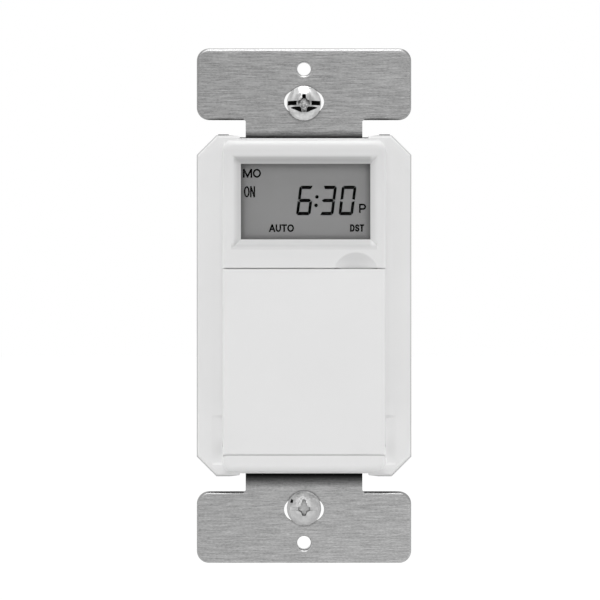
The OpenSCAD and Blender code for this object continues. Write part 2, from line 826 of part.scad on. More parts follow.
// Clear lens behind the window
module lens() upright() color("#dfe6e6", 0.35) {
    translate([win_x - glass_w / 2, glass_y - glass_h / 2, lens_back]) cube([glass_w, glass_h, lens_t]);
}

// Display glass: a front sheet, and a wider back sheet that carries the contacts
module lcd_glass() upright() color("#8a8d85") {
    front_h = glass_h - contact_h;
    translate([win_x - glass_w / 2, glass_y - glass_h / 2, glass_back])
        cube([glass_w, glass_h, glass_t / 2]);
    translate([win_x - glass_w / 2, glass_y + glass_h / 2 - front_h, glass_back])
        cube([glass_w, front_h, glass_t]);
}

// Frame that stands on the control board and holds the glass and the lens under the window
module lcd_frame() upright() color("#d9d9d6") {
    rib = 2;
    translate([win_x, glass_y, 0]) difference() {
        translate([0, 0, control_front])
            linear_extrude(ceiling_z - control_front) round_rect(frame_w, frame_h, frame_wall);
        translate([-glass_w / 2 - slip, -glass_h / 2 - slip, glass_back])
            cube([glass_w + 2 * slip, glass_h + 2 * slip, face_z]);
        translate([-zebra_len / 2, glass_foot + rib - glass_h / 2, control_front - over])
            cube([zebra_len, glass_h - glass_foot - 2 * rib, face_z]);
        translate([-zebra_len / 2 - slip, zebra_y - glass_y - zebra_w / 2 - slip, control_front - over])
            cube([zebra_len + 2 * slip, zebra_w + 2 * slip, face_z]);
    }
}

// Rubber strip that connects the glass to the control board
module zebra_strip() upright() color("#6f7a86") {
    translate([win_x - zebra_len / 2, zebra_y - zebra_w / 2, control_front])
        cube([zebra_len, zebra_w, glass_back - control_front]);
}

// Profile of the door in y and z, with a rounded lower edge
module door_profile(back, head) {
    difference() {
        translate([door_foot, back]) square([head - door_foot, face_z - back]);
        translate([door_foot, face_z - door_foot_r]) difference() {
            translate([-over, 0]) square([over + door_foot_r, door_foot_r + over]);
            translate([door_foot_r, 0]) circle(door_foot_r);
        }
    }
}

// Flip-down door: a thick panel with a thin lip, a hollow inner face and two hinge pins
module door() upright() color("#f4f3f0") {
    hub_r = pin_r + 0.4;
    hub_w = 1.3;
    pin_len = raised_w / 2 - pin_end - core_x + hub_w;
    border = 1.6;
    difference() {
        intersection() {
            union() {
                along_x(2 * door_side) door_profile(lip_z, door_head);
                along_x(2 * core_x) door_profile(door_back, ledge_y - core_gap);
            }
            along_y(3 * raised_h) {
                shoulder(door_side, face_z, door_side_r);
                mirror([1, 0]) shoulder(door_side, face_z, door_side_r);
            }
        }
        span([border - core_x, pivot_y + border + hub_r, door_back - over],
            [core_x - border, ledge_y - core_gap - border, door_back + door_hollow]);
    }
    for (s = [-1, 1])
        translate([0, pivot_y, pivot_z]) rotate([0, s * 90, 0]) {
            translate([0, 0, core_x - hub_w]) cylinder(r = hub_r, h = hub_w);
            translate([0, 0, core_x - hub_w]) cylinder(r = pin_r, h = pin_len);
        }
}

// One key: a dished cap, a flange that the deck holds and a stem over its switch
module key(w, h, place, tint) upright() color(tint) {
    translate(place) {
        difference() {
            translate([0, 0, key_flange_z]) linear_extrude(key_top - key_flange_z) round_rect(w, h, key_r);
            translate([0, 0, key_top + dish_r - dish_d]) rotate([90, 0, 0])
                cylinder(r = dish_r, h = 2 * h, center = true, $fn = 128);
        }
        translate([0, 0, key_flange_z]) linear_extrude(key_flange_t)
            round_rect(w + 2 * key_flange, h + 2 * key_flange, key_r + key_flange);
        translate([0, 0, stem_tip]) cylinder(r = stem_r, h = key_flange_z + eps - stem_tip);
    }
}

module manual_key() key(manual_w, manual_h, [0, manual_y], "#e3e2de");
module clock_key() key(key_w, key_h, key_spots[0], "#cfd0d0");
module day_key() key(key_w, key_h, key_spots[1], "#cfd0d0");
module hour_key() key(key_w, key_h, key_spots[2], "#cfd0d0");
module minute_key() key(key_w, key_h, key_spots[3], "#cfd0d0");
module program_key() key(key_w, key_h, key_spots[4], "#cfd0d0");
module mode_key() key(key_w, key_h, key_spots[5], "#cfd0d0");

// Small round reset button, low enough not to be pressed by chance
module reset_button() upright() color("#b4b5b5") {
    translate([0, reset_y, 0]) rotate_extrude() {
        translate([0, key_flange_z]) square([reset_r + key_flange, key_flange_t]);
        translate([0, key_flange_z]) square([reset_r, deck_z + reset_rise - key_flange_z]);
        translate([0, stem_tip]) square([stem_r, key_flange_z + eps - stem_tip]);
    }
}

// Green board behind the deck, with cut-outs for the posts of the rear housing
module control_board() upright() color("#2f6b46") {
    translate([0, 0, control_back]) linear_extrude(board_t) difference() {
        cut_rect(control_w, control_h, board_cut);
        for (p = case_spots) translate(p) circle(case_post_r + post_gap);
        for (p = control_posts) translate(p) circle(board_screw_r + hole_slip);
    }
}

// Tact switches under the keys, each with a well for the key's stem
module tact_switches() upright() color("#3a3a3c") {
    for (p = tact_spots)
        translate([p[0], p[1], control_front]) difference() {
            linear_extrude(tact_h) round_rect(tact_w, tact_w, 0.5);
            translate([0, 0, tact_h - well_d]) cylinder(r = stem_r + well_gap, h = well_d + over);
        }
}

// Controller chip with its two rows of legs
module controller_chip() upright() color("#242426") {
    lift = 0.2;
    leg = [1.4, 0.45, 1];
    bite = 0.1;
    legs = 9;
    leg_x = (chip_size[0] + leg[0]) / 2 - bite;
    translate([chip_spot[0], chip_spot[1], control_back]) {
        translate([-chip_size[0] / 2, -chip_size[1] / 2, -chip_size[2] - lift]) cube(chip_size);
        for (s = [-1, 1], k = [0:legs - 1])
            translate([s * leg_x, (k - (legs - 1) / 2) * chip_pitch, -leg[2] / 2]) cube(leg, center = true);
    }
}

// Can of the clock's quartz crystal
module clock_crystal() upright() color("#c4c6c8") {
    end_r = crystal_size[0] / 2 - slip;
    translate([crystal_spot[0], crystal_spot[1], control_back - crystal_size[2]])
        linear_extrude(crystal_size[2]) round_rect(crystal_size[0], crystal_size[1], end_r);
}

// Holder of the backup cell
module cell_holder() upright() color("#1f2022") {
    translate([0, cell_y, control_back]) difference() {
        translate([0, 0, -holder_h]) linear_extrude(holder_h) round_rect(holder_w, holder_w, holder_r);
        translate([0, 0, -holder_h - over])
            cylinder(r = cell_r + hole_slip, h = holder_h + over - holder_floor);
        span([-holder_slot / 2, -holder_w / 2 - over, -holder_h - over], [holder_slot / 2, 0, -holder_floor]);
    }
}

// Coin cell that keeps the time when the power fails
module backup_cell() upright() color("#c9cbcd") {
    pole_h = 0.5;
    translate([0, cell_y, control_back - holder_floor - cell_t]) rotate_extrude() {
        square([cell_r, cell_t - pole_h]);
        square([cell_pole_r, cell_t]);
    }
}

// One slotted pan-head screw with its shank pointing along z
module pan_screw(reach) {
    slot_half = 0.25;
    slot_d = 0.5;
    cylinder(r = board_screw_r, h = reach);
    translate([0, 0, -board_head_h]) difference() {
        cylinder(r = board_head_r, h = board_head_h);
        span([-board_head_r, -slot_half, -over], [board_head_r, slot_half, slot_d]);
    }
}

// Pan-head screws of both boards
module board_screws() upright() color("#c2c4c6") {
    for (p = control_posts) translate([p[0], p[1], control_back]) pan_screw(board_screw_len);
    for (p = power_posts)
        translate([p[0], p[1], power_front]) mirror([0, 0, 1]) pan_screw(board_t + standoff - screw_spare);
}

// Dark rear moulding: rim, drafted sides, latch tabs, screw tunnels, standoffs and lead holes
module rear_housing() upright() color("#2c2d2f") {
    rim_w = flange_w - 2 * rim_in;
    rim_h = flange_h - 2 * rim_in;
    pilot_floor = 0.2;
    difference() {
        union() {
            difference() {
                union() {
                    mirror([0, 0, 1])
                        cut_block(rim_w, rim_h, cut_in(flange_cut, rim_in), 0, rim_t, 0, rim_edge);
                    mirror([0, 0, 1])
                        cut_block(housing_w, housing_h, housing_cut, 0, housing_depth, housing_draft,
                            back_edge);
                }
                mirror([0, 0, 1])
                    cut_block(mouth_w, mouth_h, cut_in(housing_cut, housing_wall), -over,
                        housing_depth - housing_wall, housing_draft, 0);
            }
            for (p = case_spots) translate([p[0], p[1], -housing_depth]) {
                cylinder(r = case_post_r, h = housing_depth);
                cylinder(r = case_post_r + case_foot, h = housing_wall + standoff);
            }
            for (p = power_posts)
                translate([p[0], p[1], back_in - eps]) cylinder(r = power_post_r, h = standoff + eps);
            for (x = [-1, 1], s = [-1, 1])
                translate([x * latch_x, s * (latch_end(s) - latch_t / 2), (latch_z - rim_t) / 2])
                    cube([latch_w, latch_t, latch_z + rim_t], center = true);
        }
        for (p = case_spots) translate([p[0], p[1], 0]) {
            translate([0, 0, -housing_depth - over])
                cylinder(r = case_head_r + hole_slip, h = housing_depth - case_seat + over);
            translate([0, 0, -case_seat - over])
                cylinder(r = case_screw_r + hole_slip, h = case_seat + 2 * over);
        }
        for (p = power_posts)
            translate([p[0], p[1], back_in + pilot_floor])
                cylinder(r = board_screw_r + pilot_slip, h = standoff + over);
        for (k = [-1.5:1:1.5])
            translate([k * lead_pitch, lead_y, -housing_depth - over])
                cylinder(r = lead_r, h = housing_wall + 2 * over);
        for (turn = [0, 180]) // the rim stays behind the notches for the necks
            rotate(turn) span([-notch_w / 2 - notch_lead, flange_h / 2 - notch_d - rim_in, -rim_t - over],
                [notch_w / 2 + notch_lead, flange_h / 2, over]);
    }
}

// Four long screws that clamp housing, strap and cover together
module case_screws() upright() color("#8d8f92") {
    recess_reach = 1.3;
    recess_half = 0.3;
    recess_d = 0.8;
    for (p = case_spots)
        translate([p[0], p[1], -case_seat]) {
            cylinder(r = case_screw_r, h = case_seat + case_tip);
            translate([0, 0, -case_head_h]) difference() {
                cylinder(r = case_head_r, h = case_head_h);
                for (a = [0, 90]) rotate(a)
                    span([-recess_reach, -recess_half, -over], [recess_reach, recess_half, recess_d]);
            }
        }
}

// Mains board on the housing's standoffs
module power_board() upright() color("#2b6240") {
    translate([0, 0, power_back]) linear_extrude(board_t) difference() {
        cut_rect(power_w, power_h, board_cut);
        for (p = case_spots) translate(p) circle(case_post_r + post_gap);
        for (p = power_posts) translate(p) circle(board_screw_r + hole_slip);
        for (k = [-1.5:1:1.5]) translate([k * lead_pitch, lead_y]) circle(eyelet_r + pilot_slip);
    }
}

// Relay that switches the lamp
module relay() upright() color("#2a4f86") {
    translate([relay_spot[0], relay_spot[1], power_front])
        linear_extrude(relay_size[2]) round_rect(relay_size[0], relay_size[1], case_corner);
}

// Film capacitor of the supply
module film_capacitor() upright() color("#b5442f") {
    translate([film_spot[0], film_spot[1], power_front])
        linear_extrude(film_size[2]) round_rect(film_size[0], film_size[1], case_corner);
}

// Smoothing capacitor, with the groove that is rolled into its can
module smoothing_capacitor() upright() color("#25292f") {
    groove_z = 1.8;
    groove_r = 0.5;
    translate([smooth_spot[0], smooth_spot[1], power_front]) rotate_extrude() difference() {
        square([smooth_r, smooth_h]);
        translate([smooth_r + slip, groove_z]) circle(groove_r);
    }
}

// Varistor disc on two legs
module varistor() upright() color("#3c64a0") {
    lift = 1.2;
    leg_r = 0.4;
    leg_y = varistor_r / 2;
    translate([varistor_spot[0], varistor_spot[1], power_front]) {
        translate([0, 0, lift + varistor_r]) rotate([0, 90, 0])
            cylinder(r = varistor_r, h = varistor_t, center = true);
        for (s = [-1, 1]) translate([0, s * leg_y, 0]) cylinder(r = leg_r, h = lift + varistor_r);
    }
}

// Fuse on two legs
module fuse() upright() color("#8a7f66") {
    lift = 0.4;
    leg_r = 0.35;
    leg_y = fuse_len / 2 - 0.8;
    translate([fuse_spot[0], fuse_spot[1], power_front]) {
        translate([0, 0, lift + fuse_r]) rotate([90, 0, 0])
            cylinder(r = fuse_r, h = fuse_len, center = true);
        for (s = [-1, 1]) translate([0, s * leg_y, 0]) cylinder(r = leg_r, h = lift + fuse_r);
    }
}

// Bridge rectifier
module rectifier() upright() color("#202123") {
    translate([rectifier_spot[0], rectifier_spot[1], power_front]) linear_extrude(rectifier_size[2])
        round_rect(rectifier_size[0], rectifier_size[1], case_corner / 2);
}

// Brass eyelets in the mains board for the wire leads
module lead_eyelets() upright() color("#b89a55") {
    for (k = [-1.5:1:1.5])
        translate([k * lead_pitch, lead_y, 0]) rotate_extrude() {
            translate([eyelet_bore, power_back - eyelet_reach])
                square([eyelet_r - eyelet_bore, board_t + 2 * eyelet_reach]);
            translate([eyelet_bore, power_front]) square([eyelet_rim - eyelet_bore, eyelet_rim_t]);
        }
}

// Tall pin header that joins the two boards
module link_header() upright() color("#1d1e20") {
    pins = 4;
    row = pins * header_pitch;
    reach = control_back - power_front;
    translate([control_w / 2 - header_in, header_y, power_front]) {
        for (k = [0:pins - 1])
            translate([0, (k - (pins - 1) / 2) * header_pitch, reach / 2])
                cube([header_pin, header_pin, reach], center = true);
        for (z = [0, reach - header_w])
            translate([-header_w / 2, -row / 2, z]) cube([header_w, row, header_w]);
    }
}

mounting_strap();
mounting_screws();
screw_retainers();
front_cover();
lens();
lcd_glass();
lcd_frame();
zebra_strip();
door();
manual_key();
clock_key();
day_key();
hour_key();
minute_key();
program_key();
mode_key();
reset_button();
control_board();
tact_switches();
controller_chip();
clock_crystal();
cell_holder();
backup_cell();
board_screws();
rear_housing();
case_screws();
power_board();
relay();
film_capacitor();
smoothing_capacitor();
varistor();
fuse();
rectifier();
lead_eyelets();
link_header();
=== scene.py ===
# Timer light switch: finishes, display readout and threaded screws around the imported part
import math

import bmesh
import bpy
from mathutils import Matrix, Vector


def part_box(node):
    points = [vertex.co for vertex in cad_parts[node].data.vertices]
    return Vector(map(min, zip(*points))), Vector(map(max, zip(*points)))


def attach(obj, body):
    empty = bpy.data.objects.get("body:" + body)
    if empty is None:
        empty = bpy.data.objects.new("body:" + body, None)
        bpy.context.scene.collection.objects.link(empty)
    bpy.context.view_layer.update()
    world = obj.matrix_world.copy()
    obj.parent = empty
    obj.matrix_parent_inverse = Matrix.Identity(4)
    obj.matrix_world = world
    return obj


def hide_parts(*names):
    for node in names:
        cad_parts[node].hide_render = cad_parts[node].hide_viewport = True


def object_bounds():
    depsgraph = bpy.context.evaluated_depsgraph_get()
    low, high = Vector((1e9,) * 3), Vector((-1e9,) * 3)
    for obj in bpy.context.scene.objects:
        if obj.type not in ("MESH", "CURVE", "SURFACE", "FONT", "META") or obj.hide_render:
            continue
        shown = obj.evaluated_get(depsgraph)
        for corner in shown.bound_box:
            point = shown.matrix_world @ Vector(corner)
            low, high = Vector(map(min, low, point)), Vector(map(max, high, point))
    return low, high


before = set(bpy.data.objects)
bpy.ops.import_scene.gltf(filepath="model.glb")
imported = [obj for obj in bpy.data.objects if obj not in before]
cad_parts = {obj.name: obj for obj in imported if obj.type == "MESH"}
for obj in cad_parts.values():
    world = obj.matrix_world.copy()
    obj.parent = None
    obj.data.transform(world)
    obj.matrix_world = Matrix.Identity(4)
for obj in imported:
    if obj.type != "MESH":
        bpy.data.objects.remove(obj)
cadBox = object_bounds()
mm = 0.001
print("frame loaded:", len(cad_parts), "nodes")


def linear(hexColour):  # sRGB hex to the linear colour that shaders use
    parts = [int(hexColour[i:i + 2], 16) / 255 for i in (1, 3, 5)]
    return [c / 12.92 if c <= 0.04045 else ((c + 0.055) / 1.055) ** 2.4 for c in parts] + [1]


def perMm(size):  # texture scale for a feature of this size in mm, on coordinates in metres
    return 1000 / size


def addNode(tree, kind, values=None, links=None, **settings):  # in links, a node stands for its first output
    node = tree.nodes.new("ShaderNode" + kind)
    for name, setting in settings.items():
        setattr(node, name, setting)
    for name, value in (values or {}).items():
        node.inputs[name].default_value = value
    for name, source in (links or {}).items():
        tree.links.new(getattr(source, "outputs", [source])[0], node.inputs[name])
    return node


def newMaterial(name):
    material = bpy.data.materials.new(name)
    material.use_nodes = True
    tree = material.node_tree
    tree.nodes.clear()
    place = addNode(tree, "TexCoord").outputs["Object"]
    return material, tree, place


def finishMaterial(material, shader):
    addNode(material.node_tree, "OutputMaterial", links={"Surface": shader})
    return material


def colourRamp(tree, source, stops):
    ramp = addNode(tree, "ValToRGB", links={"Fac": source})
    marks = ramp.color_ramp.elements
    while len(marks) < len(stops):
        marks.new(0.5)
    for mark, (spot, colour) in zip(marks, stops):
        mark.position = spot
        mark.color = linear(colour)
    return ramp


def scaled(tree, colour, factor):  # colour times a factor that varies over the surface
    return addNode(tree, "VectorMath", {}, {0: colour, "Scale": factor}, operation="SCALE")


def greyed(tree, colour, share, value, start, end, greys, blend="MULTIPLY"):  # greys that follow a value
    along = addNode(tree, "MapRange", {"From Min": start, "From Max": end}, {"Value": value})
    grey = colourRamp(tree, along, greys)
    return addNode(tree, "MixRGB", {}, {"Fac": share, "Color1": colour, "Color2": grey}, blend_type=blend)


def toned(tree, colour, value, start, end, startTone, endTone=1):  # lighter or darker with a value
    span = {"From Min": start, "From Max": end, "To Min": startTone, "To Max": endTone}
    return scaled(tree, colour, addNode(tree, "MapRange", span, {"Value": value}))


def limited(tree, share, bounds):  # share that sets in from the start to the end of each bound, in mm
    for value, (start, end) in bounds:
        fade = addNode(tree, "MapRange", {"From Min": start * mm, "From Max": end * mm}, {"Value": value})
        share = addNode(tree, "Math", {}, {0: share, 1: fade}, operation="MULTIPLY")
    return share


# Materials

noiseSpan = (0.3, 0.7)  # most values of a noise texture lie between these

window = {  # the display window and the face round it, with their painted shade, mm
    "side": 0.6,  # margins of the lens behind the window's edges
    "head": 1.26,
    "foot": 2.14,
    "sunk": (0.02, 0.15),  # depths behind the front between which a surface counts as sunk
    "bevelReach": 2.0,  # how far the bevel spreads outside the window's edges
    "bevelFade": 0.2,  # width over which its painted shade sets in
    "bevelGreys": [(0.07, "#e8e8e8"), (0.12, "#f6f6f6"), (0.88, "#f6f6f6"), (0.93, "#dddddd")],
    "rightEdge": (-0.2, 0.4),  # the right side starts between these, from the window's right edge
    "rightShare": 0.15,  # how much of the bevel's painted shade that side keeps, so that side is painted lighter
    "frameHeights": (6.0, 34.0),  # where the frame starts and ends
    "frameDepths": (-5.0, -7.0),  # places along y between which its painted shade sets in
    "frameGreys": [(0, "#ffffff"), (0.1, "#fafafa"), (0.6, "#f8f8f8"), (0.9, "#f3f3f3"), (0.96, "#ffffff")],
    "underWindowShade": (-2.2, -0.6),  # heights of a band of painted shade, from the window's lower edge
    "underWindowShadeGreys": [(0, "#ffffff"), (0.45, "#e8e8e8"), (1, "#ffffff")],
}
scoop = {  # the finger scoop over the door, with painted shade in it and in its gap, mm
    "head": 11.2,  # what is sunk under this height belongs to it
    "faceHalf": 14.6,  # within this half width
    "fade": (8.0, 9.6),  # heights between which its painted shade sets in
    "greys": [(0, "#ffffff"), (1, "#f7f7f7")],
    "middle": 10.4,
    "half": 4.3,  # half its own width
    "gapHead": (0.32, 0.2),  # its gap gets painted shade between these heights, from the door's upper edge
    "gapFoot": (-0.5, -0.3),
    "paintedGapShade": "#cbcbcb",
}
flangePaintedLight = {  # mm, painted light: the flange is made paler beside the raised front
    "middle": 10.0,  # not at all here, under the raised front
    "inner": 16.4,  # most here, beside it
    "ends": (-34.0, -31.5),  # sets in over the lower end
    "depths": (-4.2, -3.8),  # only the flange, not what stands out of it
    "zones": [  # heights where it sets in, outer side, share there, lift left and right
        ((-19.0, -30.0), 21.9, 0.35, 0.12, 0.12),
        ((31.0, 26.0), 18.2, 0, 0.03, 0.09),
    ],
}
flangeEdgeShade = {  # mm, painted shade: thin grey line along the flange's outline
    "cut": 4.0,  # of the corners
    "band": (0.2, 0.34),  # the grey runs out between these distances from the outline
    "tone": 0.66,
}


def windowEdges():
    low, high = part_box("lens")
    return (low.x + window["side"] * mm, high.x - window["side"] * mm,
            low.z + window["foot"] * mm, high.z - window["head"] * mm)


def insideWindow(tree, spot, headRoom=0.0):  # distance inside the nearest edge of the window, in metres
    left, right, foot, head = windowEdges()
    depths = []
    for axis, low, high in (("X", left, right), ("Z", foot, head + headRoom * mm)):
        away = addNode(tree, "Math", {1: (low + high) / 2}, {0: spot[axis]}, operation="SUBTRACT")
        size = addNode(tree, "Math", {}, {0: away}, operation="ABSOLUTE")
        depths.append(addNode(tree, "Math", {0: (high - low) / 2}, {1: size}, operation="SUBTRACT"))
    return addNode(tree, "Math", {}, {0: depths[0], 1: depths[1]}, operation="MINIMUM")


def frameGrey(tree, spot, colour):  # painted shade on the raised front round the window, darker towards its top
    start, end = [depth * mm for depth in window["frameDepths"]]
    proud = addNode(tree, "MapRange", {"From Min": start, "From Max": end}, {"Value": spot["Y"]})
    foot, head = [height * mm for height in window["frameHeights"]]
    return greyed(tree, colour, proud, spot["Z"], foot, head, window["frameGreys"])


def bevelGrey(tree, spot, sunk, colour):  # painted shade on the bevel inside it, darkest at its head, lighter on its right side
    left, right, foot, head = windowEdges()
    reach, fade = window["bevelReach"], window["bevelFade"]
    start, end = [right + aside * mm for aside in window["rightEdge"]]
    leftward = addNode(tree, "MapRange",
                       {"From Min": start, "From Max": end, "To Min": 1, "To Max": window["rightShare"]},
                       {"Value": spot["X"]})
    share = addNode(tree, "Math", {}, {0: sunk, 1: leftward}, operation="MULTIPLY")
    share = limited(tree, share, [(insideWindow(tree, spot), (-reach, fade - reach))])
    return greyed(tree, colour, share, spot["Z"], foot - reach * mm, head + reach * mm, window["bevelGreys"])


# painted shade in the finger scoop
def paintedScoopShade(tree, spot, across, sunk, colour):
    share = sunk
    for value, most in ((spot["Z"], scoop["head"]), (across, scoop["faceHalf"])):
        under = addNode(tree, "Math", {1: most * mm}, {0: value}, operation="LESS_THAN")
        share = addNode(tree, "Math", {}, {0: share, 1: under}, operation="MULTIPLY")
    foot, head = [height * mm for height in scoop["fade"]]
    return greyed(tree, colour, share, spot["Z"], foot, head, scoop["greys"])


def paintedShadeUnderWindow(tree, spot, across, colour):  # painted shade in a band under the window
    inside = addNode(tree, "Math", {1: scoop["faceHalf"] * mm}, {0: across}, operation="LESS_THAN")
    low, high = [windowEdges()[2] + height * mm for height in window["underWindowShade"]]
    return greyed(tree, colour, inside, spot["Z"], low, high, window["underWindowShadeGreys"])


def paintedGapShade(tree, spot, sunk, colour):  # painted shade in the gap between the scoop and the door
    aside = addNode(tree, "Math", {1: scoop["middle"] * mm}, {0: spot["X"]}, operation="SUBTRACT")
    apart = addNode(tree, "Math", {}, {0: aside}, operation="ABSOLUTE")
    under = addNode(tree, "Math", {1: scoop["half"] * mm}, {0: apart}, operation="LESS_THAN")
    share = addNode(tree, "Math", {}, {0: sunk, 1: under}, operation="MULTIPLY")
    above = addNode(tree, "Math", {1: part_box("door")[1].z}, {0: spot["Z"]}, operation="SUBTRACT")
    share = limited(tree, share, [(above, scoop["gapHead"]), (above, scoop["gapFoot"])])
    return addNode(tree, "MixRGB", {"Color2": linear(scoop["paintedGapShade"])},
                   {"Fac": share, "Color1": colour}, blend_type="MULTIPLY")


# painted light: the flange paler beside the raised front
def paintedSideLight(tree, spot, across, colour):
    middle, inner = flangePaintedLight["middle"], flangePaintedLight["inner"]
    for heights, outer, outerShare, left, right in flangePaintedLight["zones"]:
        outward = addNode(tree, "MapRange",
                          {"From Min": inner * mm, "From Max": outer * mm, "To Min": 1, "To Max": outerShare},
                          {"Value": across})
        share = limited(tree, outward, [(across, (middle, inner)), (spot["Z"], heights),
                                        (spot["Z"], flangePaintedLight["ends"]), (spot["Y"], flangePaintedLight["depths"])])
        most = addNode(tree, "MapRange",
                       {"From Min": -middle * mm, "From Max": middle * mm, "To Min": left, "To Max": right},
                       {"Value": spot["X"]})
        lift = addNode(tree, "Math", {2: 1}, {0: share, 1: most}, operation="MULTIPLY_ADD")
        colour = scaled(tree, colour, lift)
    return colour


# painted shade: thin grey line along the flange's outline
def paintedEdgeShade(tree, spot, across, colour):
    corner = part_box("front_cover")[1]
    toSide = addNode(tree, "Math", {0: corner.x}, {1: across}, operation="SUBTRACT")
    height = addNode(tree, "Math", {}, {0: spot["Z"]}, operation="ABSOLUTE")
    toEnd = addNode(tree, "Math", {0: corner.z}, {1: height}, operation="SUBTRACT")
    both = addNode(tree, "Math", {}, {0: toSide, 1: toEnd}, operation="ADD")
    slope = math.sqrt(0.5)  # the corners are cut at 45 degrees
    toCut = addNode(tree, "Math", {1: slope, 2: -flangeEdgeShade["cut"] * mm * slope},
                    {0: both}, operation="MULTIPLY_ADD")
    nearest = toSide
    for distance in (toEnd, toCut):
        nearest = addNode(tree, "Math", {}, {0: nearest, 1: distance}, operation="MINIMUM")
    start, end = [distance * mm for distance in flangeEdgeShade["band"]]
    return toned(tree, colour, nearest, start, end, flangeEdgeShade["tone"])


def paintedCoverShade(tree, place, colour):  # painted light and shade on the cover, which plain light alone doesn't give
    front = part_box("front_cover")[0].y
    spot = addNode(tree, "SeparateXYZ", links={"Vector": place}).outputs
    across = addNode(tree, "Math", {}, {0: spot["X"]}, operation="ABSOLUTE")
    start, end = [front + depth * mm for depth in window["sunk"]]
    sunk = addNode(tree, "MapRange", {"From Min": start, "From Max": end}, {"Value": spot["Y"]})
    colour = frameGrey(tree, spot, colour)
    colour = bevelGrey(tree, spot, sunk, colour)
    colour = paintedScoopShade(tree, spot, across, sunk, colour)
    colour = paintedShadeUnderWindow(tree, spot, across, colour)
    colour = paintedGapShade(tree, spot, sunk, colour)
    colour = paintedSideLight(tree, spot, across, colour)
    return paintedEdgeShade(tree, spot, across, colour)


def coated(tree, colour, grain, roughness, values, span=(0, 1), bump=None):  # uneven with one grain
    (low, high), (middle, spread) = span, roughness
    levels = {"From Min": low, "From Max": high, "To Min": middle - spread, "To Max": middle + spread}
    rough = addNode(tree, "MapRange", levels, {"Value": grain})
    links = {"Base Color": colour, "Roughness": rough}
    if bump:
        strength, depth = bump
        links["Normal"] = addNode(tree, "Bump", {"Strength": strength, "Distance": depth * mm},
                                  {"Height": grain})
    return addNode(tree, "BsdfPrincipled", values, links)


mouldedFinish = {
    "flow": 14,  # mm, size of the drifts in colour
    "grit": 0.35,  # mm, really 0.05, drawn coarser so that it shows
    "bump": (0.12, 0.02),  # strength, and depth in mm
    "roughness": (0.405, 0.055),  # middle and spread
    "shine": {"IOR": 1.53, "Specular IOR Level": 0.4},
}


def mouldedAbs(name, pale, deep, shade=None):
    # ABS from a finely eroded mould: even satin sheen, tiny grain, colour that drifts a little with the flow
    material, tree, place = newMaterial(name)
    flow = addNode(tree, "TexNoise", {"Scale": perMm(mouldedFinish["flow"]), "Detail": 3}, {"Vector": place})
    grain = addNode(tree, "TexNoise", {"Scale": perMm(mouldedFinish["grit"]), "Detail": 2}, {"Vector": place})
    colour = colourRamp(tree, flow, list(zip(noiseSpan, (deep, pale))))
    if shade:
        colour = shade(tree, place, colour)
    shader = coated(tree, colour, grain, mouldedFinish["roughness"], mouldedFinish["shine"], noiseSpan,
                    mouldedFinish["bump"])
    return finishMaterial(material, shader)


strapFinish = {  # mm
    "scratch": (3.6, 0.18),  # length and width of the long scratches
    "fleck": (0.6, 0.2),  # length and width of the short ones
    "scratchShare": 0.55,  # what each adds to the colour
    "fleckShare": 0.45,
    "greys": [(0.35, "#808080"), (0.5, "#9a9a9a"), (0.65, "#b3b3b3")],
    "roughness": (0.3, 0.06),
    "bump": (0.3, 0.02),
    "darkFoot": (-34.6, -37.1),  # heights where the dark ends next to the cover fade out
    "darkHead": (34.37, 35.8),
    "darkest": 0.12,  # root of the tone in the lower dark end
    "tones": (1.11, 0.89),  # painted light: the lower ear is made lighter than the upper one
    "sideTones": (0.98, 1.07),  # and the right side lighter than the left, painted light too
    "headRim": (1.2, 1.45),  # width and tone of the rims' painted highlights
    "footRim": (0.8, 1.2),
    "rightRim": (0.8, 1.25),
    "seatShadowRadii": (3.45, 3.95),  # radii between which a painted shadow ring round each screw head fades out
    "seatShadowTone": 0.52,
    "rolled": (0.985, 0.6),  # how far forward a flat face and a rolled edge look
    "mouthHeights": (45.0, 46.0),  # the slots end and the round holes start
    "mouthShadeGreys": [(0, "#888888"), (1, "#bcbcbc")],
    "lightWay": (0.45, 0, 0.9),  # painted highlight on rolled edges that face this way
    "glint": (0.1, 0.6),  # how much they face it, from none to all of the brightness
    "glintGrey": "#909090",
    "holesX": 4.5,  # holes and slots lie within these, the bright rolled edges outside
    "holesZ": 50.3,
}


def stretched(tree, place, size, detail):  # noise drawn out along x
    lengthMm, widthMm = size
    spread = addNode(tree, "Mapping",
                     {"Scale": (perMm(lengthMm), perMm(widthMm), perMm(widthMm))}, {"Vector": place})
    return addNode(tree, "TexNoise", {"Scale": 1, "Detail": detail, "Roughness": 0.6}, {"Vector": spread})


def darkEnds(tree, spot, colour):  # shade on the strap where it goes under the cover
    bands = []
    for (near, far), darkest in ((strapFinish["darkFoot"], strapFinish["darkest"]),
                                 (strapFinish["darkHead"], 0)):
        bands.append(addNode(tree, "MapRange",
                             {"From Min": near * mm, "From Max": far * mm, "To Min": darkest},
                             {"Value": spot["Z"]}))
    foot = addNode(tree, "Math", {1: 2}, {0: bands[0]}, operation="POWER")
    shade = addNode(tree, "Math", {}, {0: foot, 1: bands[1]}, operation="ADD", use_clamp=True)
    return scaled(tree, colour, shade)


def paintedStrapLight(tree, spot, colour):  # painted light over the strap, lighter towards the lower ear and the right side, and painted highlights on its rims
    low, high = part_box("mounting_strap")
    drifts = [("Z", low.z, high.z, *strapFinish["tones"]), ("X", low.x, high.x, *strapFinish["sideTones"])]
    for axis, edge, way, name in (("Z", high.z, -1, "headRim"), ("Z", low.z, 1, "footRim"),
                                  ("X", high.x, -1, "rightRim")):
        width, tone = strapFinish[name]
        drifts.append((axis, edge, edge + way * width * mm, tone, 1))
    for axis, *drift in drifts:
        colour = toned(tree, colour, spot[axis], *drift)
    return colour


def screwHeight():  # of the upper screw's middle, as the heads are as wide as the node's box
    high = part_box("mounting_screws")[1]
    return high.z - high.x


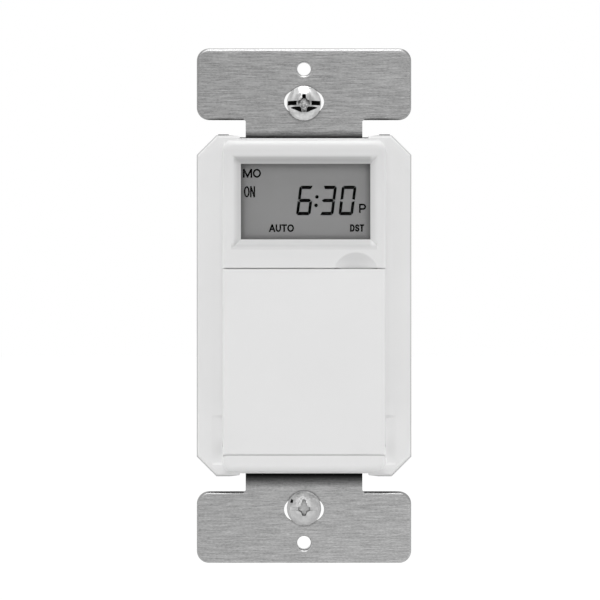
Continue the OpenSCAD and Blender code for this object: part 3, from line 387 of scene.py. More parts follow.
# painted shadow: a dark ring round each screw head
def paintedSeatShadows(tree, spot, height, colour):
    above = addNode(tree, "Math", {1: screwHeight()}, {0: height}, operation="SUBTRACT")
    fromScrew = addNode(tree, "CombineXYZ", {}, {"X": spot["X"], "Y": above})
    distance = addNode(tree, "VectorMath", {}, {0: fromScrew}, operation="LENGTH")
    start, end = [radius * mm for radius in strapFinish["seatShadowRadii"]]
    return toned(tree, colour, distance.outputs["Value"], start, end, strapFinish["seatShadowTone"])


def paintedRimShadeAndGlint(tree, spot, height, colour):  # painted shade in the mouths of holes and slots, painted highlights on the rolled edges outside them
    normal = addNode(tree, "NewGeometry").outputs["Normal"]
    facing = addNode(tree, "SeparateXYZ", links={"Vector": normal}).outputs["Y"]
    flat = addNode(tree, "Math", {}, {0: facing}, operation="ABSOLUTE")
    start, end = strapFinish["rolled"]
    rolled = addNode(tree, "MapRange", {"From Min": start, "From Max": end}, {"Value": flat})
    across = addNode(tree, "Math", {}, {0: spot["X"]}, operation="ABSOLUTE")
    beyond = []
    for value, reach in ((across, "holesX"), (height, "holesZ")):
        beyond.append(addNode(tree, "Math", {1: strapFinish[reach] * mm}, {0: value},
                              operation="GREATER_THAN"))
    outer = addNode(tree, "Math", {}, {0: beyond[0], 1: beyond[1]}, operation="MAXIMUM")
    inner = addNode(tree, "Math", {0: 1}, {1: outer}, operation="SUBTRACT")
    mouth = addNode(tree, "Math", {}, {0: rolled, 1: inner}, operation="MULTIPLY")
    slotEnd, holeStart = [z * mm for z in strapFinish["mouthHeights"]]
    colour = greyed(tree, colour, mouth, height, slotEnd, holeStart, strapFinish["mouthShadeGreys"], blend="MIX")
    lit = addNode(tree, "VectorMath", {1: strapFinish["lightWay"]}, {0: normal}, operation="DOT_PRODUCT")
    start, end = strapFinish["glint"]
    glint = addNode(tree, "MapRange", {"From Min": start, "From Max": end}, {"Value": lit.outputs["Value"]})
    bright = addNode(tree, "Math", {}, {0: glint, 1: outer}, operation="MULTIPLY")
    return addNode(tree, "MixRGB", {"Color2": linear(strapFinish["glintGrey"])},
                   {"Fac": bright, "Color1": colour})


def brushedSteel(name):
    # zinc coated strip, brushed across: fine level scratches, painted highlights on rolled edges, painted
    # shade by the cover
    material, tree, place = newMaterial(name)
    scratch = stretched(tree, place, strapFinish["scratch"], 4)
    fleck = stretched(tree, place, strapFinish["fleck"], 3)
    lesser = addNode(tree, "Math", {1: strapFinish["fleckShare"]}, {0: fleck}, operation="MULTIPLY")
    both = addNode(tree, "Math", {1: strapFinish["scratchShare"]},
                   {0: scratch, 2: lesser}, operation="MULTIPLY_ADD")
    colour = colourRamp(tree, both, strapFinish["greys"])
    spot = addNode(tree, "SeparateXYZ", links={"Vector": place}).outputs
    height = addNode(tree, "Math", {}, {0: spot["Z"]}, operation="ABSOLUTE")
    colour = darkEnds(tree, spot, colour)
    colour = paintedStrapLight(tree, spot, colour)
    colour = paintedSeatShadows(tree, spot, height, colour)
    colour = paintedRimShadeAndGlint(tree, spot, height, colour)
    shader = coated(tree, colour, scratch, strapFinish["roughness"], {"Metallic": 1}, noiseSpan,
                    strapFinish["bump"])
    return finishMaterial(material, shader)


zincFinish = {  # mm
    "roughSpread": 0.06,
    "bump": (0.8, 0.3),
    "gleam": (4.9, 6.7),  # painted light: crowns are brighter towards the cover, between these from the screws' outer ends
    "gleamTone": 1.35,
    "darkRound": (1.9, 2.4),  # radii between which the darkening round the upper cross runs out
    "darkRoundTone": 0.6,
}


# painted light: crowns brighter towards the cover
def paintedCrownGleam(tree, place, colour):
    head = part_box("mounting_screws")[1].z
    start, end = [head - inward * mm for inward in zincFinish["gleam"]]
    height = addNode(tree, "SeparateXYZ", links={"Vector": place}).outputs["Z"]
    outward = addNode(tree, "Math", {}, {0: height}, operation="ABSOLUTE")
    return toned(tree, colour, outward, start, end, 1, zincFinish["gleamTone"])


def darkerRoundCross(tree, place, colour):  # the same painted light, with the upper head darker round its cross
    away = addNode(tree, "VectorMath", {1: (0, 0, screwHeight())}, {0: place}, operation="SUBTRACT")
    flat = addNode(tree, "VectorMath", {1: (1, 0, 1)}, {0: away}, operation="MULTIPLY")
    distance = addNode(tree, "VectorMath", {}, {0: flat}, operation="LENGTH")
    start, end = [radius * mm for radius in zincFinish["darkRound"]]
    return toned(tree, paintedCrownGleam(tree, place, colour), distance.outputs["Value"], start, end,
                 zincFinish["darkRoundTone"])


def zincPlate(name, pale, deep, roughness, size=1.2, shade=None):
    # zinc on cold-headed steel: cool grey half mirror with a faint mottle
    material, tree, place = newMaterial(name)
    mottle = addNode(tree, "TexNoise", {"Scale": perMm(size), "Detail": 2}, {"Vector": place})
    colour = colourRamp(tree, mottle, list(zip(noiseSpan, (deep, pale))))
    if shade:
        colour = shade(tree, place, colour)
    shader = coated(tree, colour, mottle, (roughness, zincFinish["roughSpread"]), {"Metallic": 1}, noiseSpan,
                    zincFinish["bump"])
    return finishMaterial(material, shader)


paneFinish = {
    "haze": 3,  # mm
    "roughness": (0.05, 0.11),
    "through": "#fcfcfc",  # what it lets pass
    "body": "#101010",  # under its gloss
    "gloss": 0.07,  # share of the gloss
    "ior": 1.49,
}


def clearAcrylic(name):
    # polished acrylic pane: nearly unseen, with a thin gloss and faint haze
    material, tree, place = newMaterial(name)
    haze = addNode(tree, "TexNoise", {"Scale": perMm(paneFinish["haze"]), "Detail": 2}, {"Vector": place})
    smooth, dull = paneFinish["roughness"]
    rough = addNode(tree, "MapRange", {"To Min": smooth, "To Max": dull}, {"Value": haze})
    through = addNode(tree, "BsdfTransparent", {"Color": linear(paneFinish["through"])})
    body = {"Base Color": linear(paneFinish["body"]), "IOR": paneFinish["ior"]}
    gloss = addNode(tree, "BsdfPrincipled", body, {"Roughness": rough})
    shader = addNode(tree, "MixShader", {"Fac": paneFinish["gloss"]}, {1: through, 2: gloss})
    return finishMaterial(material, shader)


displayFinish = {
    "edge": 1.4,  # mm, width of the darker edge
    "headRoom": 1.6,  # mm, how far the even grey goes up past the window
    "greys": [(0, "#929292"), (1, "#a8a8a8")],
    "cells": 0.4,  # mm
    "roughness": (0.47, 0.05),
    "shine": {"IOR": 1.5, "Specular IOR Level": 0.2},
    "inkSpots": 0.8,  # mm
    "inkGreys": ("#030303", "#070707"),
    "inkShine": {"Roughness": 0.6, "Specular IOR Level": 0},
}


def displayGlass(name):
    # reflective liquid crystal: flat neutral grey, darker towards the window's edges where less light gets in
    material, tree, place = newMaterial(name)
    spot = addNode(tree, "SeparateXYZ", links={"Vector": place}).outputs
    edge = addNode(tree, "MapRange", {"From Min": 0, "From Max": displayFinish["edge"] * mm},
                   {"Value": insideWindow(tree, spot, displayFinish["headRoom"])},
                   interpolation_type="SMOOTHSTEP")
    colour = colourRamp(tree, edge, displayFinish["greys"])
    cells = addNode(tree, "TexNoise", {"Scale": perMm(displayFinish["cells"]), "Detail": 1},
                    {"Vector": place})
    shader = coated(tree, colour, cells, displayFinish["roughness"], displayFinish["shine"])
    return finishMaterial(material, shader)


def crystalInk(name):
    # driven liquid crystal: near black and matt
    material, tree, place = newMaterial(name)
    uneven = addNode(tree, "TexNoise", {"Scale": perMm(displayFinish["inkSpots"]), "Detail": 1},
                     {"Vector": place})
    colour = colourRamp(tree, uneven, list(zip(noiseSpan, displayFinish["inkGreys"])))
    shader = addNode(tree, "BsdfPrincipled", displayFinish["inkShine"], {"Base Color": colour})
    return finishMaterial(material, shader)


speckledFinish = {
    "span": (0.35, 0.65),  # noise values of the deep and the pale colour
    "roughSpread": 0.08,
    "bump": 0.3,
}


def speckled(name, pale, deep, size, roughness, metallic=0.0, bumpDepth=0.02, specular=0.5):
    # plain engineering surface: two close tones in spots of a real size, with a matching grain
    material, tree, place = newMaterial(name)
    spots = addNode(tree, "TexNoise", {"Scale": perMm(size), "Detail": 3}, {"Vector": place})
    colour = colourRamp(tree, spots, list(zip(speckledFinish["span"], (deep, pale))))
    shine = {"Metallic": metallic, "Specular IOR Level": specular}
    shader = coated(tree, colour, spots, (roughness, speckledFinish["roughSpread"]), shine,
                    bump=(speckledFinish["bump"], bumpDepth))
    return finishMaterial(material, shader)


looks = {  # kind of surface, pale and deep colour, and what else it needs, such as roughness
    "whiteAbs": (mouldedAbs, "#e8e8e8", "#e6e6e6"),
    # a paler copy of white ABS, as painted light on the lower relief ramps
    "paintedLitWhiteAbs": (mouldedAbs, "#f9f9f9", "#f6f6f6"),
    # white ABS with the cover's painted light and shade
    "coverAbsPaintedShade": (mouldedAbs, "#e8e8e8", "#e6e6e6", paintedCoverShade),
    "lightKeyAbs": (mouldedAbs, "#dddddb", "#d8d8d6"),
    "greyKeyAbs": (mouldedAbs, "#c2c3c4", "#bcbdbe"),
    "paleAbs": (mouldedAbs, "#d9d9d6", "#d2d2cf"),
    "brushedSteel": (brushedSteel,),
    "brightZinc": (zincPlate, "#d6d6d6", "#bebebe", 0.34, 1.2, darkerRoundCross),
    "dullZinc": (zincPlate, "#cecece", "#b6b6b6", 0.5, 1.2, paintedCrownGleam),
    # recessFloorShadeZinc on the upper cross's floor, shadedZinc on both crosses' walls: painted shade in the
    # recesses
    "recessFloorShadeZinc": (zincPlate, "#c8c8c8", "#6e6e6e", 0.4, 0.6),
    "shadedZinc": (zincPlate, "#505050", "#3a3a3a", 0.22),
    "paintedGlintWhite": (speckled, "#f4f4f4", "#d4d4d4", 0.3, 0.8, 0, 0.02, 0.1),  # painted highlights, matt white
    "blackMarkAndShade": (speckled, "#060606", "#030303", 0.2, 0.7, 0, 0.02, 0.05),  # black and dead matt: a chip on the lower head, painted shade and dark reflections on the upper one
    "clearAcrylic": (clearAcrylic,),
    "displayGlass": (displayGlass,),
    "crystalInk": (crystalInk,),
    "vulcanisedFibre": (speckled, "#b9a07c", "#9d8460", 0.3, 0.75, 0, 0.05),  # tan pressed paper
    "blackPolyester": (speckled, "#2c2d2f", "#232426", 0.4, 0.5, 0, 0.03),  # dark, finely grained moulding
    "blackMoulding": (speckled, "#262729", "#1c1d1f", 0.5, 0.45),  # the same, smoother and darker
    "siliconeRubber": (speckled, "#6f7a86", "#525b66", 0.25, 0.6),  # soft blue grey
    "solderMask": (speckled, "#2f6b46", "#245638", 1.8, 0.35),  # glossy green lacquer
    "drawnTin": (speckled, "#c9cbcd", "#aeb1b4", 0.6, 0.3, 1.0),  # bright deep-drawn cans
    "blueEpoxy": (speckled, "#31599a", "#27497f", 1.2, 0.3),  # dipped, with a wet gloss
    "redEpoxy": (speckled, "#b5442f", "#963625", 1.2, 0.3),
    "brownResin": (speckled, "#8a7f66", "#746a54", 0.8, 0.4),  # cast, cloudy and dull
    "brass": (speckled, "#c9a95f", "#ab8d48", 0.5, 0.3, 1.0),  # rolled and turned, warm yellow
}
finishes = {name: make(name, *values) for name, (make, *values) in looks.items()}
print("materials made:", len(finishes))

# Dressing of the CAD pieces
dressing = [  # finish, how far edges are broken in mm, and the nodes
    ("coverAbsPaintedShade", 0, ["front_cover"]),
    ("whiteAbs", 0.1, ["door"]),
    ("lightKeyAbs", 0.25, ["manual_key"]),
    ("greyKeyAbs", 0.2, ["clock_key", "day_key", "hour_key", "minute_key", "program_key", "mode_key",
                         "reset_button"]),
    ("clearAcrylic", 0, ["lens"]),
    ("displayGlass", 0, ["lcd_glass"]),
    ("paleAbs", 0, ["lcd_frame"]),
    ("siliconeRubber", 0, ["zebra_strip"]),
    ("brushedSteel", 0, ["mounting_strap"]),
    ("vulcanisedFibre", 0.05, ["screw_retainers"]),
    ("blackPolyester", 0.1, ["rear_housing"]),
    ("dullZinc", 0.05, ["case_screws", "board_screws"]),
    ("solderMask", 0, ["control_board", "power_board"]),
    ("blackMoulding", 0.1, ["tact_switches"]),
    ("blackMoulding", 0, ["controller_chip", "cell_holder", "rectifier", "link_header",
                          "smoothing_capacitor"]),
    ("drawnTin", 0, ["clock_crystal", "backup_cell"]),
    ("blueEpoxy", 0, ["relay", "varistor"]),
    ("redEpoxy", 0, ["film_capacitor"]),
    ("brownResin", 0, ["fuse"]),
    ("brass", 0, ["lead_eyelets"]),
]
brokenEdge = {
    "weld": 0.002,  # mm, nearer points are one
    "flatAngle": 1,  # degrees, below which two faces are one flat face
    "sharpAngle": 35,  # degrees, above which an edge is rounded
    "segments": 3,
}


def dress(nodeName, finish, edge):
    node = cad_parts[nodeName]
    node.data.materials.clear()
    node.data.materials.append(finishes[finish])
    if edge:
        node.modifiers.new("weld", "WELD").merge_threshold = brokenEdge["weld"] * mm
        flats = node.modifiers.new("flats", "DECIMATE")  # joins the triangles of flat faces
        flats.decimate_type = "DISSOLVE"
        flats.angle_limit = math.radians(brokenEdge["flatAngle"])
        rounding = node.modifiers.new("rounding", "BEVEL")
        rounding.width = edge * mm
        rounding.segments = brokenEdge["segments"]
        rounding.limit_method = "ANGLE"
        rounding.angle_limit = math.radians(brokenEdge["sharpAngle"])
        rounding.use_clamp_overlap = False  # one tiny edge would stop them all
        node.modifiers.new("normals", "WEIGHTED_NORMAL").keep_sharp = False


for finish, edge, nodeNames in dressing:
    for nodeName in nodeNames:
        dress(nodeName, finish, edge)
print("nodes dressed:", sum(len(nodeNames) for _, _, nodeNames in dressing))


# Box screws with a slot, a cross recess and a cut thread, in place of the plain CAD ones
boxScrew = {  # mm
    "headRadius": 3.5,
    "headHeight": 2.0,
    "rimHeight": 0.5,
    "crownPower": 2.2,  # 2 is an even dome, more is flatter with a rounder edge
    "crownSteps": 24,
    "headSteps": 96,  # round the head
    "footEdge": 0.12,  # chamfer under the head
    "overCut": 0.5,  # how far cutters stand out of the crown
    "slotWidth": 0.72,
    "slotDepth": 0.95,
    "slotReach": 4.5,  # the slot's cutter ends outside the head
    "slotEnd": [(1.52, -0.5), (3.3, -0.5), (3.3, 0.39), (1.52, 0.39)],  # black, as painted shade in them
    "slotEndDepth": 1.4,
    "crossWide": 1.4,  # from the middle to the tips of the cross
    "crossTall": {"upper": (1.2, 2.1), "lower": (2.1, 1.55)},  # up and down
    "crossArm": 0.34,  # half the width of an arm at its tip
    "crossWaist": 0.68,  # the inner corners, across and up
    "crossDepth": 1.65,
    "crossFloor": 0.78,  # share of the outline that is left at the floor of the cross
    # painted dark reflections under the slot, as shallow black marks
    "darkReflection": [(2.75, -0.95), (2.2, -0.82), (0.85, -0.8), (0.6, -1.05), (0.42, -1.95), (0.85, -1.85),
              (1.4, -1.6), (2.0, -1.35), (2.5, -1.15)],
    "skinMarkDepth": 0.03,
    "pocket": [(-0.4, 1.0), (0.4, 1.0), (0.4, 1.6), (0.2, 1.75), (-0.2, 1.75), (-0.4, 1.6)],  # over the cross, black as painted shadow
    "pocketDepth": 1.6,
    "chip": [(-2.85, 1.2), (-2.3, 1.15), (-2.2, 1.75), (-2.6, 1.95)],
    "paintedGlints": [[(-1.75, 1.55), (-1.3, 1.85), (-0.95, 1.75), (-1.0, 1.45), (-1.4, 1.3)],  # painted highlights
               [(-0.85, 1.8), (-0.5, 2.25), (0, 2.42), (0.5, 2.3), (0.85, 1.95), (0.62, 1.8), (0.38, 2.12),
                (0, 2.2), (-0.38, 2.12), (-0.6, 1.75)]],
    "neckRadius": 1.5,
    "neckTop": -0.3,  # inside the head
    "threadStart": 2.35,  # behind the head, past strap and washer
    "threadStep": 0.1,  # from the neck to the first turn
    "crestRadius": 1.75,
    "rootRadius": 1.34,
    "pitch": 0.794,
    "flank": 3,  # how steep the thread's flanks are
    "rootFlat": 0.3,  # and how flat its root
    "aroundSteps": 40,
    "pitchSteps": 8,
    "sharpAngle": 28,  # degrees
}


def newObject(name, mesh):
    data = bpy.data.meshes.new(name)
    mesh.to_mesh(data)
    mesh.free()
    piece = bpy.data.objects.new(name, data)
    bpy.context.scene.collection.objects.link(piece)
    return piece


def lathe(rings, steps):  # closed solid from radius and depth along y; depth grows away from the user
    mesh = bmesh.new()
    turns = [2 * math.pi * i / steps for i in range(steps)]
    loops = []
    for radiusAt, depth in rings:
        loops.append([mesh.verts.new((radiusAt(t) * math.cos(t) * mm, depth * mm,
                                      radiusAt(t) * math.sin(t) * mm)) for t in turns])
    for a, b in zip(loops, loops[1:]):
        for i in range(steps):
            j = (i + 1) % steps
            mesh.faces.new((a[i], a[j], b[j], b[i]))
    mesh.faces.new(loops[0][::-1])
    mesh.faces.new(loops[-1])
    bmesh.ops.recalc_face_normals(mesh, faces=mesh.faces)
    return mesh


def crownDepth(r):  # depth of the domed crown at a radius, in mm from the strap's face
    tall, rim = boxScrew["headHeight"], boxScrew["rimHeight"]
    return -tall + (tall - rim) * (r / boxScrew["headRadius"]) ** boxScrew["crownPower"]


def recessCutter(name, outline, floorShare, floorDepth, wallFinish, floorFinish):  # tapers towards its floor
    mesh = bmesh.new()
    top = -(boxScrew["headHeight"] + boxScrew["overCut"]) * mm
    front = [mesh.verts.new((x * mm, top, z * mm)) for x, z in outline]
    back = [mesh.verts.new((x * floorShare * mm, floorDepth(x, z) * mm, z * floorShare * mm))
            for x, z in outline]
    mesh.faces.new(front)
    mesh.faces.new(back[::-1]).material_index = 1
    for i in range(len(outline)):
        j = (i + 1) % len(outline)
        mesh.faces.new((front[j], front[i], back[i], back[j]))
    bmesh.ops.triangulate(mesh, faces=mesh.faces)
    bmesh.ops.recalc_face_normals(mesh, faces=mesh.faces)
    cutter = newObject(name, mesh)
    for finish in (wallFinish, floorFinish):
        cutter.data.materials.append(finishes[finish])
    return cutter


def screwHead(end, crown, paintedShadeMarks):
    radius, tall, steps = [boxScrew[k] for k in ("headRadius", "headHeight", "crownSteps")]
    foot = boxScrew["footEdge"]
    rings = [(lambda t, r=radius * i / steps: r, crownDepth(radius * i / steps)) for i in range(1, steps + 1)]
    rings += [(lambda t: radius, -foot), (lambda t: radius - foot, 0)]
    head = newObject("screwHead", lathe(rings, boxScrew["headSteps"]))
    head.data.materials.append(finishes[crown])
    half, reach = boxScrew["slotWidth"] / 2, boxScrew["slotReach"]
    slot = [(-reach, -half), (reach, -half), (reach, half), (-reach, half)]
    wide, arm, waist = [boxScrew[k] for k in ("crossWide", "crossArm", "crossWaist")]
    cross = []
    for way, high in zip((1, -1), boxScrew["crossTall"][end]):
        right = [(wide, arm), (waist, waist), (arm, high)]
        both = right + [(-x, z) for x, z in right[::-1]]
        cross += [(way * x, way * z) for x, z in both]

    def level(depth):  # flat floor at a depth under the top of the crown
        return lambda x, z: depth - tall

    def skin(x, z):  # floor that follows the crown
        return crownDepth(math.hypot(x, z)) + boxScrew["skinMarkDepth"]

    cutters = [recessCutter("screwSlot", slot, 1, level(boxScrew["slotDepth"]), crown, crown),
               recessCutter("screwCross", cross, boxScrew["crossFloor"], level(boxScrew["crossDepth"]),
                            "shadedZinc", "recessFloorShadeZinc" if paintedShadeMarks else crown)]
    # upper head: painted shade and dark reflections; lower head: a chip and painted highlights
    if paintedShadeMarks:
        marks = [("blackMarkAndShade", boxScrew["pocket"], level(boxScrew["pocketDepth"]))]
        slotFloor = level(boxScrew["slotEndDepth"])
        for side in (1, -1):
            for outline, floor in ((boxScrew["darkReflection"], skin), (boxScrew["slotEnd"], slotFloor)):
                marks.append(("blackMarkAndShade", [(side * x, z) for x, z in outline], floor))
    else:
        marks = [("blackMarkAndShade", boxScrew["chip"], skin)]
        marks += [("paintedGlintWhite", outline, skin) for outline in boxScrew["paintedGlints"]]
    for finish, outline, floor in marks:
        cutters.append(recessCutter("screwMark", outline, 1, floor, finish, finish))
    for cutter in cutters:
        cut = head.modifiers.new(cutter.name, "BOOLEAN")
        cut.operation = "DIFFERENCE"
        cut.solver = "EXACT"
        cut.material_mode = "TRANSFER"
        cut.object = cutter
    bpy.context.view_layer.update()
    cutMesh = bpy.data.meshes.new_from_object(head.evaluated_get(bpy.context.evaluated_depsgraph_get()))
    for spare in [head] + cutters:
        bpy.data.objects.remove(spare)
    return cutMesh


def screwShank(length):
    crest, root, pitch = boxScrew["crestRadius"], boxScrew["rootRadius"], boxScrew["pitch"]
    neck, start = boxScrew["neckRadius"], boxScrew["threadStart"]
    rings = [(lambda t: neck, boxScrew["neckTop"]), (lambda t: neck, start - boxScrew["threadStep"])]
    count = int((length - start) / pitch * boxScrew["pitchSteps"])
    for i in range(count + 1):
        depth = start + (length - start) * i / count
        fade = min(1, (depth - start) / pitch, (length - depth) / pitch)

        def radiusAt(t, depth=depth, fade=fade):
            turn = (depth / pitch + t / (2 * math.pi)) % 1
            height = (0.5 - abs(turn - 0.5)) * boxScrew["flank"] - boxScrew["rootFlat"]
            return root + (crest - root) * min(1, max(0, height)) * fade
        rings.append((radiusAt, depth))
    return lathe(rings, boxScrew["aroundSteps"])


def boxScrews():
    low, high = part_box("mounting_screws")
    reach = high.z - boxScrew["headRadius"] * mm
    seat = low.y + boxScrew["headHeight"] * mm
    for end, level, crown, paintedShadeMarks in (("upper", reach, "brightZinc", True),
                                       ("lower", -reach, "dullZinc", False)):
        headMesh = screwHead(end, crown, paintedShadeMarks)
        mesh = screwShank((high.y - seat) / mm)
        mesh.from_mesh(headMesh)
        bmesh.ops.translate(mesh, verts=mesh.verts, vec=(0, seat, level))
        for face in mesh.faces:
            face.smooth = True
        piece = newObject(end + "_box_screw", mesh)
        for finish in headMesh.materials:
            piece.data.materials.append(finish)
        piece.data.set_sharp_from_angle(angle=math.radians(boxScrew["sharpAngle"]))
        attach(piece, "chassis")
        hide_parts("mounting_screws")


boxScrews()
print("box screws cut")


# Sloped ends of the shallow pockets beside the hinge, which catch the light from above; the lower ones are
# also made of a paler white as painted light
reliefRamp = {  # mm
    "inner": 16.45,  # side of the raised front
    "outer": 18.6,
    "face": 3.6,  # front of the flange, towards the user
    "depth": 0.3,  # of the pocket at its inner side
    "runOut": 0.95,  # share of it that is gone at the outer side
    "ends": [("lower", -32.3, 1, "paintedLitWhiteAbs"), ("upper", -22.2, -1, "whiteAbs")],  # height, way in and finish
    "run": 0.5,
    "steps": 5,
}


def reliefRamps():
    inner, outer, face, depth, run = [reliefRamp[k] * mm for k in ("inner", "outer", "face", "depth", "run")]
    for side, sideName in ((-1, "left"), (1, "right")):
        for endName, height, way, finish in reliefRamp["ends"]:
            end = height * mm
            mesh = bmesh.new()
            rings = []
            for i in range(reliefRamp["steps"] + 1):
                share = i / reliefRamp["steps"]
                x = side * (inner + (outer - inner) * share)
                floor = face - depth * (1 - reliefRamp["runOut"] * share)
                corners = ((x, -face, end), (x, -floor, end), (x, -floor, end + way * run))
                rings.append([mesh.verts.new(corner) for corner in corners])
            for a, b in zip(rings, rings[1:]):
                for i in range(3):
                    mesh.faces.new((a[i], a[(i + 1) % 3], b[(i + 1) % 3], b[i]))
            mesh.faces.new(rings[0])
            mesh.faces.new(rings[-1])
            bmesh.ops.recalc_face_normals(mesh, faces=mesh.faces)
            piece = newObject(f"relief_ramp_{sideName}_{endName}", mesh)
            piece.data.materials.append(finishes[finish])
            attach(piece, "chassis")


reliefRamps()
print("relief ramps set")


# Display readout, as thin solids on the front of the glass
readout = {  # mm
    "inkDepth": 0.03,  # in the gap between glass and lens
    "digitHeight": 5.26,  # between the middles of the top and bottom bars
    "digitWidth": 2.36,
    "bar": 0.67,  # stroke of the level bars
    "post": 0.57,  # stroke of the leaning posts
    "gap": 0.01,  # between a bar and a post at a corner
    "split": 0.11,  # half the gap between an upper and a lower post
    "tip": 0.06,  # how far the middle bar's ends reach into that gap
    "nip": 0.26,  # cut at the outer corners
    "slant": 7.3,  # degrees
    "footZ": 18.59,
    "digits": [("6", -1.33), ("3", 3.28), ("0", 7.23)],
    "colon": [(2.59, 21.95), (2.41, 20.23)],
    "colonRadius": 0.36,
    "words": [  # name, left, foot, height and stroke, letters with their widths, and the gap
        ("monday", -12.31, 25.8, 1.78, 0.33, [("M", 1.85), ("O", 1.65)], 0.13),
        ("on", -12.11, 21.85, 2.25, 0.29, [("O", 1.14), ("N", 1.0)], 0.1),
        ("auto", -7.07, 14.88, 1.53, 0.31, [("A", 1.28), ("U", 1.1), ("T", 1.12), ("O", 1.36)], 0.06),
        ("dst", 9.26, 14.94, 1.47, 0.31, [("D", 0.94), ("S", 0.88), ("T", 0.88)], 0.06),
        ("pm", 11.07, 18.7, 1.85, 0.33, [("P", 1.41)], 0),
    ],
}
litSegments = {  # a top, b and c right, d foot, e and f left, g middle
    "0": "abcdef",
    "3": "abcdg",
    "6": "acdefg",
}


def arc(x, z, wide, tall, start, end, steps=14):  # points on an ellipse, angles in degrees
    turns = [math.radians(start + (end - start) * i / steps) for i in range(steps + 1)]
    return [(x + wide * math.cos(t), z + tall * math.sin(t)) for t in turns]


def oval(x, z, wide, tall):  # a whole ellipse, whose last point isn't its first
    return arc(x, z, wide, tall, 0, 345, 23)


letterStrokes = {  # middle lines in a box of 1 by 1
    "M": [[(0, 0), (0, 1)], [(0.04, 1), (0.5, 0.04)], [(0.5, 0.04), (0.96, 1)], [(1, 1), (1, 0)]],
    "N": [[(0, 0), (0, 1)], [(0.05, 1), (0.95, 0)], [(1, 0), (1, 1)]],
    "O": [oval(0.5, 0.5, 0.5, 0.5)],
    "A": [[(0, 0), (0.48, 1)], [(0.52, 1), (1, 0)], [(0.2, 0.32), (0.8, 0.32)]],
    "U": [[(0, 1)] + arc(0.5, 0.42, 0.5, 0.42, 180, 360) + [(1, 1)]],
    "T": [[(0, 1), (1, 1)], [(0.5, 1), (0.5, 0)]],
    "D": [[(0, 0), (0, 1), (0.4, 1)] + arc(0.45, 0.5, 0.55, 0.5, 80, -80) + [(0.4, 0)]],
    "S": [arc(0.5, 0.74, 0.46, 0.26, 20, 270) + arc(0.5, 0.25, 0.5, 0.25, 82, -160)],
    "P": [[(0, 0), (0, 1), (0.5, 1)] + arc(0.6, 0.71, 0.4, 0.29, 80, -80) + [(0.5, 0.42), (0, 0.42)]],
}
closedLetters = "OD"  # their line goes back to its start


def inkPlanes():  # back and front of the ink along y
    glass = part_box("lcd_glass")[0].y
    return glass, glass - readout["inkDepth"] * mm


def addPrism(mesh, outline):  # a closed flat solid on the glass from an outline in x and z
    back, front = inkPlanes()
    lower = [mesh.verts.new((x * mm, back, z * mm)) for x, z in outline]
    upper = [mesh.verts.new((x * mm, front, z * mm)) for x, z in outline]
    mesh.faces.new(upper)
    mesh.faces.new(lower[::-1])
    for i in range(len(outline)):
        j = (i + 1) % len(outline)
        mesh.faces.new((upper[j], upper[i], lower[i], lower[j]))


def addRibbon(mesh, line, stroke, closed):  # a closed flat solid of even width along a line
    back, front = inkPlanes()
    points = [Vector(p) for p in line]
    if not closed:  # square ends, half a stroke past the line
        points[0] += (points[0] - points[1]).normalized() * stroke / 2
        points[-1] += (points[-1] - points[-2]).normalized() * stroke / 2
    count = len(points)
    rings = []
    for i, point in enumerate(points):
        ways = []
        if closed or i > 0:
            ways.append((point - points[i - 1]).normalized())
        if closed or i < count - 1:
            ways.append((points[(i + 1) % count] - point).normalized())
        along = sum(ways, Vector((0, 0))).normalized()
        across = Vector((-along.y, along.x))
        reach = stroke / 2 / max(0.5, across.dot(Vector((-ways[0].y, ways[0].x))))
        pair = [point + across * reach, point - across * reach]
        rings.append([mesh.verts.new((p.x * mm, depth, p.y * mm)) for p in pair for depth in (front, back)])
    for i in range(count if closed else count - 1):
        a, b = rings[i], rings[(i + 1) % count]
        for m, n in ((0, 2), (2, 3), (3, 1), (1, 0)):
            mesh.faces.new((a[m], a[n], b[n], b[m]))
    if not closed:
        for ring in (rings[0], rings[-1]):
            mesh.faces.new((ring[0], ring[2], ring[3], ring[1]))


def inkPiece(name, mesh):
    bmesh.ops.recalc_face_normals(mesh, faces=mesh.faces)
    piece = newObject(name, mesh)
    piece.data.materials.append(finishes["crystalInk"])
    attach(piece, "chassis")


def digitOutlines():  # the seven segments upright, foot of the left post's middle line at 0, 0
    wide, tall = readout["digitWidth"], readout["digitHeight"]
    bar, post = readout["bar"] / 2, readout["post"] / 2
    gap, split, nip, tip = [readout[k] for k in ("gap", "split", "nip", "tip")]
    top = [(nip - post + gap, tall + bar), (wide + post - nip - gap, tall + bar),
           (wide - post - gap, tall - bar), (post + gap, tall - bar)]
    left = [(-post, tall / 2 + split), (post, tall / 2 + bar - tip / 2), (post, tall - bar - gap),
            (nip - post, tall + bar - nip / 2), (-post, tall + bar - nip * 1.5)]
    middle = [(-tip, tall / 2), (bar + gap, tall / 2 + bar), (wide - bar - gap, tall / 2 + bar),
              (wide + tip, tall / 2), (wide - bar - gap, tall / 2 - bar), (bar + gap, tall / 2 - bar)]
    flipX = lambda line: [(wide - x, z) for x, z in line]
    flipZ = lambda line: [(x, tall - z) for x, z in line]
    return {"a": top, "d": flipZ(top), "g": middle, "f": left, "e": flipZ(left),
            "b": flipX(left), "c": flipX(flipZ(left))}


